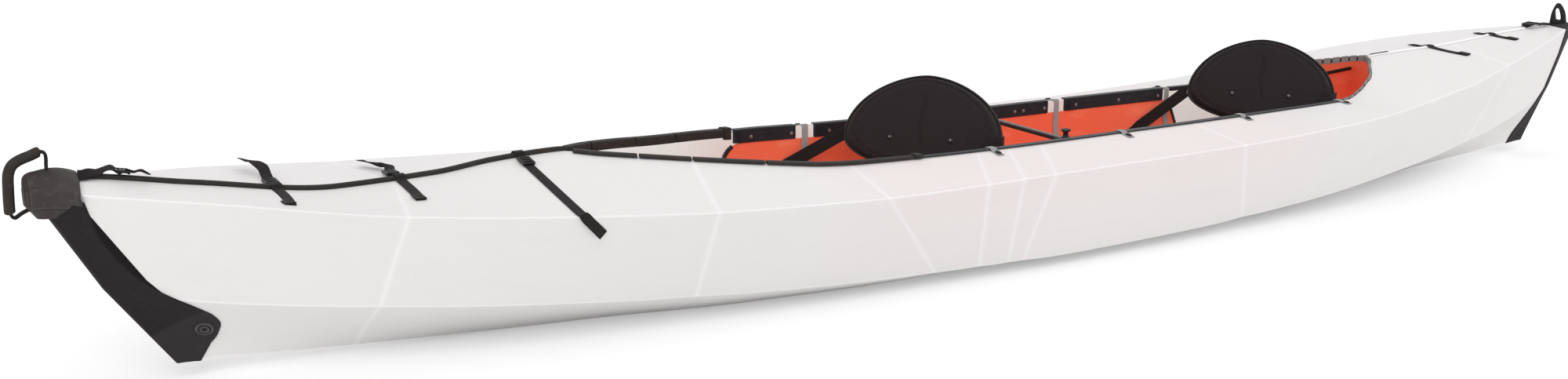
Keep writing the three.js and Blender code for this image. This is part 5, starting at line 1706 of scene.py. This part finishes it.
# Each strap's free end as (dx, y, height, turn) steps.
FREE_ENDS = {
    "bow_deck_strap_1": [
        (0.004, 0.085, 0.012, 0.1), (0.006, 0.115, 0.024, 0.3), (-0.004, 0.150, 0.030, -0.2),
        (-0.010, 0.190, 0.024, -0.5),
    ],
    "bow_deck_strap_2": [
        (0.010, 0.090, 0.006, 0.1), (0.018, 0.125, 0.014, -0.3), (0.006, 0.160, 0.010, -0.6),
        (-0.016, 0.205, 0.016, -0.2),
    ],
    "bow_deck_strap_3": [(0.002, 0.060, 0.004, 0.0)],
    "stern_deck_strap_1": [(0.004, 0.060, 0.003, 0.0), (0.006, 0.080, 0.003, 0.0)],
    "stern_deck_strap_2": [(0.003, 0.060, 0.003, 0.0)],
}


def ladder_buckle(name, centre, along, width=0.030, length=0.040):
    """Moulded slider: two side bars, and cross bars of which the last is a raised lip."""
    shape = Shape()
    along = along.normalized()
    across = UP.cross(along).normalized()
    frame = Matrix((across, along, across.cross(along))).transposed()
    lift = frame @ Vector((0, 0, 1))
    wide, thick = SIDE_BAR
    for side in (-1, 1):
        shape.box(centre + across * side * (width - wide) / 2, (wide, length, thick), frame)
    for t, tall in CROSS_BARS:
        shape.box(centre + along * t * length + lift * (tall - 0.005) / 2, (width - 0.003, 0.0052, tall), frame)
    shape.piece(name + "_buckle", BUCKLE, slot="trim", bevel=0.0008)


def deck_line(x, ends, crossing):
    """Points along the deck from one y to the other over the seam, whose top is crossing above it."""
    low, high = ends
    top = hull_point_at("edge", x).z + crossing
    line = [deck_point(x, mix(low, -0.020, i / 4), DECK_LIFT) for i in range(4)]
    line += [deck_point(x, -0.020, DECK_LIFT + 0.0010), Vector((x, -0.0095, top - 0.0006)), Vector((x, 0, top))]
    line += [Vector((x, 0.0095, top - 0.0006)), deck_point(x, 0.022, DECK_LIFT + 0.0016)]
    return line + [deck_point(x, mix(0.022, high, t), DECK_LIFT) for t in (0.5, 1.0)]


def anchor_tab(shape, x, y):
    """Doubled end of a strap, stitched to the deck."""
    points = [deck_point(x, y + TAB_LENGTH * t, 0.0042 - 0.0006 * t) for t in (0, 0.5, 1)]
    shape.band([(p, (1, 0, 0)) for p in points], DECK_WEB + 0.001, DECK_WEB_THICK)


def stitch_rows(x, y):
    """Box stitching on a tab: short raised threads."""
    shape = Shape()
    for side in (-1, 1):
        for i in range(7):
            way = TAB_LENGTH * (0.12 + 0.76 * i / 6)
            shape.box(deck_point(x + side * STITCH_WIDTH / 2, y + way, STITCH_HEIGHT), (0.0010, 0.0032, 0.0006))
    for end in (0.1, 0.9):
        for i in range(4):
            spot = deck_point(x + STITCH_WIDTH * (i / 3 - 0.5), y + TAB_LENGTH * end, STITCH_HEIGHT)
            shape.box(spot, (0.0032, 0.0010, 0.0006))
    return shape


def deck_strap(name, x, ends, crossing, buckle=None, hang=None, sway=0.0):
    """One strap: buckle is its buckle's y, hang its end over the near gunwale."""
    shape = Shape()
    line = [(p, (1, 0, 0)) for p in deck_line(x, ends, crossing)]
    for dx, y, height, turn in FREE_ENDS[name]:
        line.append((deck_point(x + dx, y, height), (math.cos(turn), 0.15 * math.sin(turn), math.sin(turn))))
    if hang:
        line = hang + line
    else:
        line = [(p + Vector((sway * (p.y / SWAY_FROM) ** 2, 0, 0)), across) for p, across in line]
    shape.band(line, DECK_WEB, DECK_WEB_THICK)
    tab = (x + sway * (ends[0] / SWAY_FROM) ** 2, ends[0])
    if not hang:
        anchor_tab(shape, *tab)
    shape.piece(name, BLACK_WEB, slot="black_webbing", stands_for=[name])
    if not hang:
        stitch_rows(*tab).piece(name + "_stitches", GREY_THREAD, slot="black_webbing")
    if buckle is not None:
        here, there = deck_point(x, buckle - 0.01, 0.007), deck_point(x, buckle + 0.01, 0.007)
        ladder_buckle(name, (here + there) / 2, there - here)


def hang_over(x, drop, sway):
    """Controls for a strap's end that hangs over the near gunwale, swung along the hull by sway."""
    line = []
    for t in (1.0, 0.7, 0.4, 0.15):
        corner = hull_point_at("gunwale", x + sway * t, -1)
        side = section(share_at("gunwale", x + sway * t))
        lean = (side[2] - side[1]).normalized()
        out = Vector((0, -0.0045 - 0.0025 * t, 0.0024))
        line.append((corner + Vector((0, abs(lean.y), -lean.z)) * drop * t + out, (1, 0, min(0.9, 2.2 * t))))
    gunwale = hull_point_at("gunwale", x, -1)
    line.append((gunwale + Vector((sway * 0.02, 0.0024, 0.0036)), (1, 0, 0)))
    line.append((deck_point(x, -(abs(gunwale.y) - 0.018), 0.0024), (1, 0, 0)))
    return line


def make_deck_straps():
    deck_strap("bow_deck_strap_1", -1.945, (-0.186, 0.040), SEAM_TOP, 0.045, sway=-0.010)
    deck_strap("bow_deck_strap_2", -1.675, (-0.178, 0.040), SEAM_TOP, 0.062, sway=-0.006)
    x = -1.392
    deck_strap("bow_deck_strap_3", x, (-0.240, 0.040), SEAM_TOP, -0.048, hang=hang_over(x, 0.056, 0.050))
    deck_strap("stern_deck_strap_1", 1.755, (-0.140, 0.040), RIDGE_TOP, sway=0.02)
    deck_strap("stern_deck_strap_2", 2.060, (-0.096, 0.036), RIDGE_TOP, sway=0.02)


make_deck_straps()


# Webbing on the middle line: place, lift over the seam, way to the side, and direction across.
CAP_CURL = [
    (-2.336, -0.004, -0.011, (0, 0.62, 0.78)), (-2.326, -0.003, -0.011, (0, 0.66, 0.75)),
    (-2.314, 0.001, -0.008, (0, 0.78, 0.62)), (-2.298, 0.002, -0.004, (0, 0.92, 0.38)),
    (-2.284, 0.008, 0, (0, 1, 0.2)), (-2.270, 0.012, 0, (0.1, 1, 0.3)), (-2.256, 0.004, 0, (0, 1, 0.3)),
    (-2.242, 0.009, 0, (0, 1, -0.3)), (-2.228, 0.006, 0, (0, 1, -0.4)), (-2.214, 0.010, 0, (0, 1, -0.4)),
    (-2.198, 0.003, 0, (0, 1, -0.2)),
]
STERN_RUN = [
    (2.238, 0.0005, 0, (0, 1, 0)), (2.262, 0.004, 0, (0, 1, 0)), (2.290, 0.0075, 0, (0, 1, 0.1)),
    (2.318, 0.004, 0, (0, 1, 0.1)), (2.340, 0.002, 0, (0, 1, 0)), (2.360, 0.002, 0, (0, 1, 0)),
]


def over_seam(x, lift, y=0.0):
    return Vector((x, y, hull_point_at("edge", x).z + (SEAM_TOP if x < 0 else RIDGE_TOP) + lift))


def end_strap(name, node, controls, web, buckle, tilt, size):
    """Webbing of a width and thickness, and its buckle at a place and lift."""
    shape = Shape()
    shape.band([(over_seam(x, lift, y), across) for x, lift, y, across in controls], *web, 0.003)
    shape.piece(name, BLACK_WEB, slot="black_webbing", stands_for=[node])
    ladder_buckle(name, over_seam(*buckle), Vector((1, 0, tilt)), *size)


# Curled webbing behind the cap, and the buckled strap ahead of the stern cover.
end_strap("cap_strap", "bow_cap_strap", CAP_CURL, (DECK_WEB, 0.0022), (-2.250, 0.0070), -0.2, (0.030, 0.026))
end_strap("stern_strap", "stern_buckle_strap", STERN_RUN, (0.028, 0.0026), (2.262, 0.0085), 0.12, (0.034, 0.036))

# Seats: a half-moon backrest in a webbing hanger, and a pad on the floor.

SEATS = {"front": -0.253, "rear": 1.001}
MOON_HALF = 0.216
MOON_RISE = 0.177
MOON_FALL = 0.093
SQUARENESS = 1.16
BACKREST_HEIGHT = 0.319
BACKREST_LEAN = math.radians(29)
BACKREST_TURN = math.radians(43)
BOARD = 0.005
FOAM = 0.024
BOLT_APART = 0.082
BOLT_BELOW = 0.008
CREASE_TOP = 0.122
CREASE_LOW = -0.034
PRESSURE = 4.0
SIM_FRAMES = 20
# Size of the cover's grid and the furthest that its points may move, for the backrests and for the seat pads.
BACKREST_FILLING = (0.0042, 0.0022)
SEAT_FILLING = (0.0052, 0.0040)
SLEEVE_RADIUS = 0.0040
SLEEVE_STEPS = 90


def moon(share, steps=96):
    """Half-moon outline as (across, up)."""
    ring = []
    for c, s in circle(steps):
        across = MOON_HALF * math.copysign(abs(c) ** SQUARENESS, c)
        ring.append((across * share, (MOON_RISE if s > 0 else MOON_FALL) * s * share))
    return ring


def moon_share(across, up):
    """About which share of the outline a point lies on."""
    wide = (abs(across) / MOON_HALF) ** (2 / SQUARENESS)
    high = (up / (MOON_RISE if up > 0 else MOON_FALL)) ** 2
    return math.sqrt(wide + high)


def backrest_frame(place):
    """Where a backrest stands: X is its back, Y across it and Z up it."""
    turn = Matrix.Rotation(BACKREST_TURN, 4, "Z") @ Matrix.Rotation(BACKREST_LEAN, 4, "Y")
    return Matrix.Translation((place, 0, BACKREST_HEIGHT)) @ turn


def bell(value, reach):
    return math.exp(-((value / reach) ** 2))


def plump(made, held, grid, furthest):
    """Fills a cushion's cover: held(point) is how firmly a point stays where it is."""
    scene = bpy.context.scene
    bpy.context.view_layer.objects.active = made
    remesh = made.modifiers.new("even_grid", "REMESH")
    remesh.mode = "VOXEL"
    remesh.voxel_size = grid
    bpy.ops.object.modifier_apply(modifier=remesh.name)
    start = [v.co.copy() for v in made.data.vertices]
    pins = made.vertex_groups.new(name="held")
    for i, point in enumerate(start):
        pins.add([i], held(point), "REPLACE")
    cloth = made.modifiers.new("filling", "CLOTH")
    settings = cloth.settings
    settings.quality = 5
    settings.mass = 0.3
    settings.tension_stiffness = settings.compression_stiffness = 12
    settings.shear_stiffness = 6
    settings.bending_stiffness = 0.8
    settings.vertex_group_mass = "held"
    settings.use_pressure = True
    settings.uniform_pressure_force = PRESSURE
    settings.effector_weights.gravity = 0
    cloth.collision_settings.use_collision = False
    for number in range(1, SIM_FRAMES + 1):
        scene.frame_set(number)
    final = made.evaluated_get(bpy.context.evaluated_depsgraph_get()).to_mesh()
    moved = [v.co.copy() for v in final.vertices]
    made.modifiers.remove(cloth)
    scene.frame_set(1)
    for vert, before, after in zip(made.data.vertices, start, moved):
        move = after - before
        if move.length > furthest:
            move *= furthest / move.length
        vert.co = before + move
    made.vertex_groups.clear()


def settle(made, matrix, body, stands_for):
    """Places a finished soft piece on its body."""
    made.data.transform(matrix)
    made.data.shade_smooth()
    rounder = made.modifiers.new("rounding", "SUBSURF")
    rounder.levels = rounder.render_levels = 1
    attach(made, body)
    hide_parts(*stands_for)


FOAM_RINGS = [
    (0.10, 0.0), (0.30, 0.0), (0.50, 0.0), (0.70, 0.0), (0.86, 0.0), (0.93, 0.02), (0.948, 0.14), (0.952, 0.38),
    (0.948, 0.60), (0.935, 0.76), (0.915, 0.85), (0.885, 0.90), (0.84, 0.93), (0.76, 0.95), (0.64, 0.96),
    (0.50, 0.965), (0.36, 0.97), (0.22, 0.97), (0.10, 0.97),
]


# Depth and reach of the pad's centre crease, its border's groove and roll, and the dimples round its bolts; for the
# border, the share of the outline too.
PAD_CREASE = (0.0075, 0.0050)
GROOVE = (0.0030, 0.862, 0.016)
ROLL = (-0.0016, 0.905, 0.020)
DIMPLE = (0.0034, 0.013)


def foam_dents(point):
    """How far the front of the pad is pressed in at a point."""
    x, across, up = point
    if x > -0.45 * FOAM:
        return 0.0
    share = moon_share(across, up)
    along = clamp((CREASE_TOP - up) / 0.018) * clamp((up - CREASE_LOW) / 0.012)
    wobble = 0.0030 * math.sin(up * 55)
    dent = PAD_CREASE[0] * bell(across - wobble, PAD_CREASE[1]) * along
    for depth, at, reach in (GROOVE, ROLL):
        dent += depth * bell(share - at, reach)
    for side in (-1, 1):
        dent += DIMPLE[0] * bell(math.hypot(across - side * BOLT_APART, up + BOLT_BELOW), DIMPLE[1])
    return dent


# The shell's section, from its front face over its rim to its back: place, and share of the outline.
SHELL_RINGS = [
    (0.0, 0.5), (0.0, 0.94), (0.0, 0.975), (0.0008, 0.994), (0.0022, 1.0), (0.0034, 0.998), (0.0046, 0.988),
    (0.0050, 0.955), (0.0044, 0.930), (0.0050, 0.90), (0.0050, 0.5),
]
WASHER = [(0, 0), (0.0094, 0), (0.0096, 0.0014), (0.0078, 0.0030), (0.0050, 0.0034), (0, 0.0034)]
BOLT_HEAD = [(0, 0.0030), (0.0028, 0.0030), (0.0027, 0.0056), (0.0020, 0.0062), (0.0010, 0.0056), (0, 0.0056)]
# Beads round the shell and round a seat pad.
SHELL_BEAD = 0.0031
PAD_PIPING = 0.0020


def make_backrest(name, place):
    body = "backrest_" + name
    frame = backrest_frame(place)
    back = frame.to_3x3() @ Vector((1, 0, 0))
    foam = Shape()
    foam.loft([[Vector((-GAP - depth * FOAM, a, u)) for a, u in moon(share)] for share, depth in FOAM_RINGS])
    pad = foam.piece("backrest_pad_" + name, PADDING, body=None, angle=80)
    plump(pad, lambda p: 1.0 if p.x > -0.004 else 0.25 * max(0.0, 1 + p.x / FOAM), *BACKREST_FILLING)
    for vert in pad.data.vertices:
        vert.co.x = min(max(vert.co.x + foam_dents(vert.co), -FOAM - GAP), -GAP)
    settle(pad, frame, body, ["backrest_foam_" + name])

    board = Shape()
    board.loft([[frame @ Vector((x, a, u)) for a, u in moon(share)] for x, share in SHELL_RINGS])
    lip = [frame @ Vector((-0.0016, a, u)) for a, u in moon(0.982, 120)]
    board.hoop(lip, back, SHELL_BEAD, 12)
    board.piece("backrest_shell_" + name, TRIM, body=body, slot="trim", stands_for=["backrest_board_" + name], angle=50)

    washers, bolts = Shape(), Shape()
    for side in (-1, 1):
        seat = frame @ Vector((-GAP - FOAM + 0.0018, side * BOLT_APART, -BOLT_BELOW))
        washers.turned(WASHER, seat, -back, 28)
        bolts.turned(BOLT_HEAD, seat, -back, 20)
    washers.piece("backrest_washers_" + name, BOLT_BLACK, body=body, slot="trim")
    bolts.piece("backrest_bolts_" + name, BOLT, body=body, slot="trim")

    hanger = Shape()
    run, side_layer = hanger.layer("run"), hanger.layer("side")
    half = MOON_HALF - GAP
    depth = BOARD + GAP + SLEEVE_RADIUS
    ways = [mix(-half, half, i / SLEEVE_STEPS) for i in range(SLEEVE_STEPS + 1)]
    points = [frame @ Vector((depth, way, 0)) for way in ways]
    rows = hanger.tube(points, lambda t: SLEEVE_RADIUS - 0.0004 * abs(math.sin(t * 60)), 16)
    for i, row in enumerate(rows):
        for k, vert in enumerate(row):
            vert[run] = i * 0.0048
            vert[side_layer] = k * 0.0016
    hanger.piece("backrest_sleeve_" + name, BLACK_WEB, body="hanger_" + name, slot="black_webbing",
                 stands_for=["backrest_hanger_" + name])


# Seat pads.

PAD_HALF = (0.165, 0.144)
PAD_HEIGHT = 0.038
PAD_CORNER = 0.055
PAD_AHEAD = 0.250
PAD_RINGS = [
    (0.10, 0.0), (0.35, 0.0), (0.60, 0.0), (0.82, 0.0), (0.93, 0.02), (0.965, 0.14), (0.985, 0.34), (0.985, 0.52),
    (0.965, 0.68), (0.92, 0.79), (0.85, 0.85), (0.75, 0.88), (0.60, 0.90), (0.42, 0.91), (0.24, 0.92), (0.10, 0.92),
]


# Stitched channels along the pad, how deep and wide they are, and the bowl that sitting has left.
CHANNELS = (-0.072, 0.0, 0.072)
CHANNEL = (0.0046, 0.0045)
BOWL = (0.004, 0.09)


def pad_outline(share, steps=12):
    half_x, half_y = PAD_HALF
    ring = []
    for quarter, (sx, sy) in enumerate(((1, 1), (-1, 1), (-1, -1), (1, -1))):
        for i in range(steps + 1):
            angle = QUARTER_TURN * (quarter + i / steps)
            x = sx * (half_x - PAD_CORNER) + PAD_CORNER * math.cos(angle)
            y = sy * (half_y - PAD_CORNER) + PAD_CORNER * math.sin(angle)
            ring.append((x * share, y * share))
    return ring


def make_seat_pad(name, place):
    base = Vector((place - PAD_AHEAD, 0, floor_top(place) + GAP))
    shape = Shape()
    shape.loft([[Vector((x, y, up * PAD_HEIGHT)) for x, y in pad_outline(share)] for share, up in PAD_RINGS])
    pad = shape.piece("seat_pad_" + name, PADDING, body=None, angle=80)
    plump(pad, lambda p: 1.0 if p.z < 0.003 else 0.15, *SEAT_FILLING)
    for vert in pad.data.vertices:
        x, y, z = vert.co
        if z > 0.5 * PAD_HEIGHT:
            inside = clamp((0.86 - max(abs(x) / PAD_HALF[0], abs(y) / PAD_HALF[1])) / 0.08)
            channels = sum(bell(y - at, CHANNEL[1]) for at in CHANNELS)
            z -= CHANNEL[0] * channels * inside + BOWL[0] * bell(math.hypot(x * 0.8, y), BOWL[1])
        vert.co.z = min(max(z, 0.0), PAD_HEIGHT)
    settle(pad, Matrix.Translation(base), "hull", ["seat_pad_" + name])
    cord = Shape()
    ring = [base + Vector((x, y, 0.43 * PAD_HEIGHT)) for x, y in pad_outline(1.0, 10)]
    cord.hoop(ring, UP, PAD_PIPING, 10, 0.0012)
    cord.piece("seat_pad_piping_" + name, TRIM, slot="foam")


# Seat straps, from the lining to the hanger's ends.

SEAT_WEB = 0.036
SEAT_WEB_THICK = 0.002
ANCHOR_AHEAD = 0.298
ANCHOR_BELOW = 0.021
ANCHOR_FOOT = 0.038
ANCHOR_LOWER = 0.042
PATCH_WIDER = 0.004
PATCH_THICK = 0.0018


def make_seat_strap(name, place, side_name, side):
    centre = Vector((place, 0, BACKREST_HEIGHT))
    spin = Matrix.Rotation(BACKREST_TURN, 3, "Z")
    across, ahead = spin @ Vector((0, 1, 0)), spin @ Vector((-1, 0, 0))

    def beside(width, reach):
        return centre + across * side * width + ahead * reach

    def on_wall(reach):
        edge = hull_point_at("edge", place - reach)
        wall = edge.y - 2 * GAP - PANEL_THICK - SEAT_WEB_THICK / 2
        return Vector((place - reach, side * wall, edge.z - RAIL_DROP - ANCHOR_BELOW - ANCHOR_LOWER - SEAT_WEB / 2))

    width = MOON_HALF + GAP + SEAT_WEB_THICK / 2 + 0.0004
    line = [beside(width, -0.012), beside(width, -0.005), beside(width, 0.002)]
    if side < 0:
        line.append(beside(width - 0.008, 0.036))
    anchor, foot = on_wall(ANCHOR_AHEAD), on_wall(ANCHOR_AHEAD + ANCHOR_FOOT)
    foot.z = anchor.z + (anchor.z - line[-1].z) * ANCHOR_FOOT / max(line[-1].x - anchor.x, 0.1)
    line += [line[-1].lerp(anchor, 0.33), line[-1].lerp(anchor, 0.66), anchor, anchor.lerp(foot, 0.5), foot]
    shape = Shape()
    shape.band([(p, UP) for p in line], SEAT_WEB, SEAT_WEB_THICK, 0.005)
    end = "%s_%s" % (name, side_name)
    strap = shape.piece("seat_strap_" + end, BLACK_WEB, body=None, slot="black_webbing",
                        stands_for=["seat_strap_" + end])
    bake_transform(strap, "hull", "hanger_" + name, tuple(anchor), tuple(beside(width, 0.002)))
    patch = Shape()
    inboard = Vector((0, -side * 0.0022, 0))
    line = [(anchor.lerp(foot, t) + inboard, UP) for t in (0.25, 0.6, 1.02)]
    patch.band(line, SEAT_WEB + PATCH_WIDER, PATCH_THICK, 0.005)
    patch.piece("seat_strap_patch_" + end, BLACK_WEB, slot="black_webbing")


for seat_name, seat_place in SEATS.items():
    make_backrest(seat_name, seat_place)
    make_seat_pad(seat_name, seat_place)
    for side_name, hull_side in SIDES.items():
        make_seat_strap(seat_name, seat_place, side_name, hull_side)


# Floor and light.

FLOOR_SIZE = 40.0
FLOOR_TOP = -0.001
FLOOR_UNDER = -0.012
SUN_FROM = Vector((-0.50, -0.95, 0.95))
SUN_STRENGTH = 0.90
SUN_SOFTNESS = math.radians(38)
SKY = 0.82
FLOOR_SEEN = 0.76
FLOOR_LIT = 0.95
FLOOR_GLOW = 0.29


def white_when_seen(tree, dim, bright):
    """A grey that is dim for lighting, and bright for what the camera, gloss and glass see."""
    path = tree.nodes.new("ShaderNodeLightPath")
    either = path.outputs["Is Camera Ray"]
    for name in ("Is Glossy Ray", "Is Transmission Ray"):
        most = tree.nodes.new("ShaderNodeMath")
        most.operation = "MAXIMUM"
        tree.links.new(either, most.inputs[0])
        tree.links.new(path.outputs[name], most.inputs[1])
        either = most.outputs[0]
    choice = tree.nodes.new("ShaderNodeMix")
    choice.data_type = "RGBA"
    tree.links.new(either, choice.inputs[0])
    choice.inputs[6].default_value = (dim, dim, dim, 1)
    choice.inputs[7].default_value = (bright, bright, bright, 1)
    return choice.outputs[2]


def make_stage():
    world = bpy.data.worlds.new("studio")
    bpy.context.scene.world = world
    world.use_nodes = True
    background = world.node_tree.nodes["Background"]
    world.node_tree.links.new(white_when_seen(world.node_tree, SKY, 1.0), background.inputs["Color"])
    finish = Finish("studio_floor", Roughness=1.0, Specular_IOR_Level=0.0, Emission_Strength=FLOOR_GLOW)
    tint = white_when_seen(finish.tree, FLOOR_LIT, FLOOR_SEEN)
    finish.tree.links.new(tint, finish.shader.inputs["Base Color"])
    finish.tree.links.new(white_when_seen(finish.tree, 0.0, 1.0), finish.shader.inputs["Emission Color"])
    shape = Shape()
    thick = FLOOR_TOP - FLOOR_UNDER
    shape.box((0, 0, (FLOOR_TOP + FLOOR_UNDER) / 2), (FLOOR_SIZE, FLOOR_SIZE, thick))
    shape.piece("floor", finish, body=None)
    data = bpy.data.lights.new("key", "SUN")
    data.energy = SUN_STRENGTH
    data.angle = SUN_SOFTNESS
    lamp = bpy.data.objects.new("key", data)
    bpy.context.scene.collection.objects.link(lamp)
    lamp.rotation_euler = (-SUN_FROM).to_track_quat("-Z", "Y").to_euler()
    bpy.context.scene.view_settings.view_transform = "Standard"


make_stage()
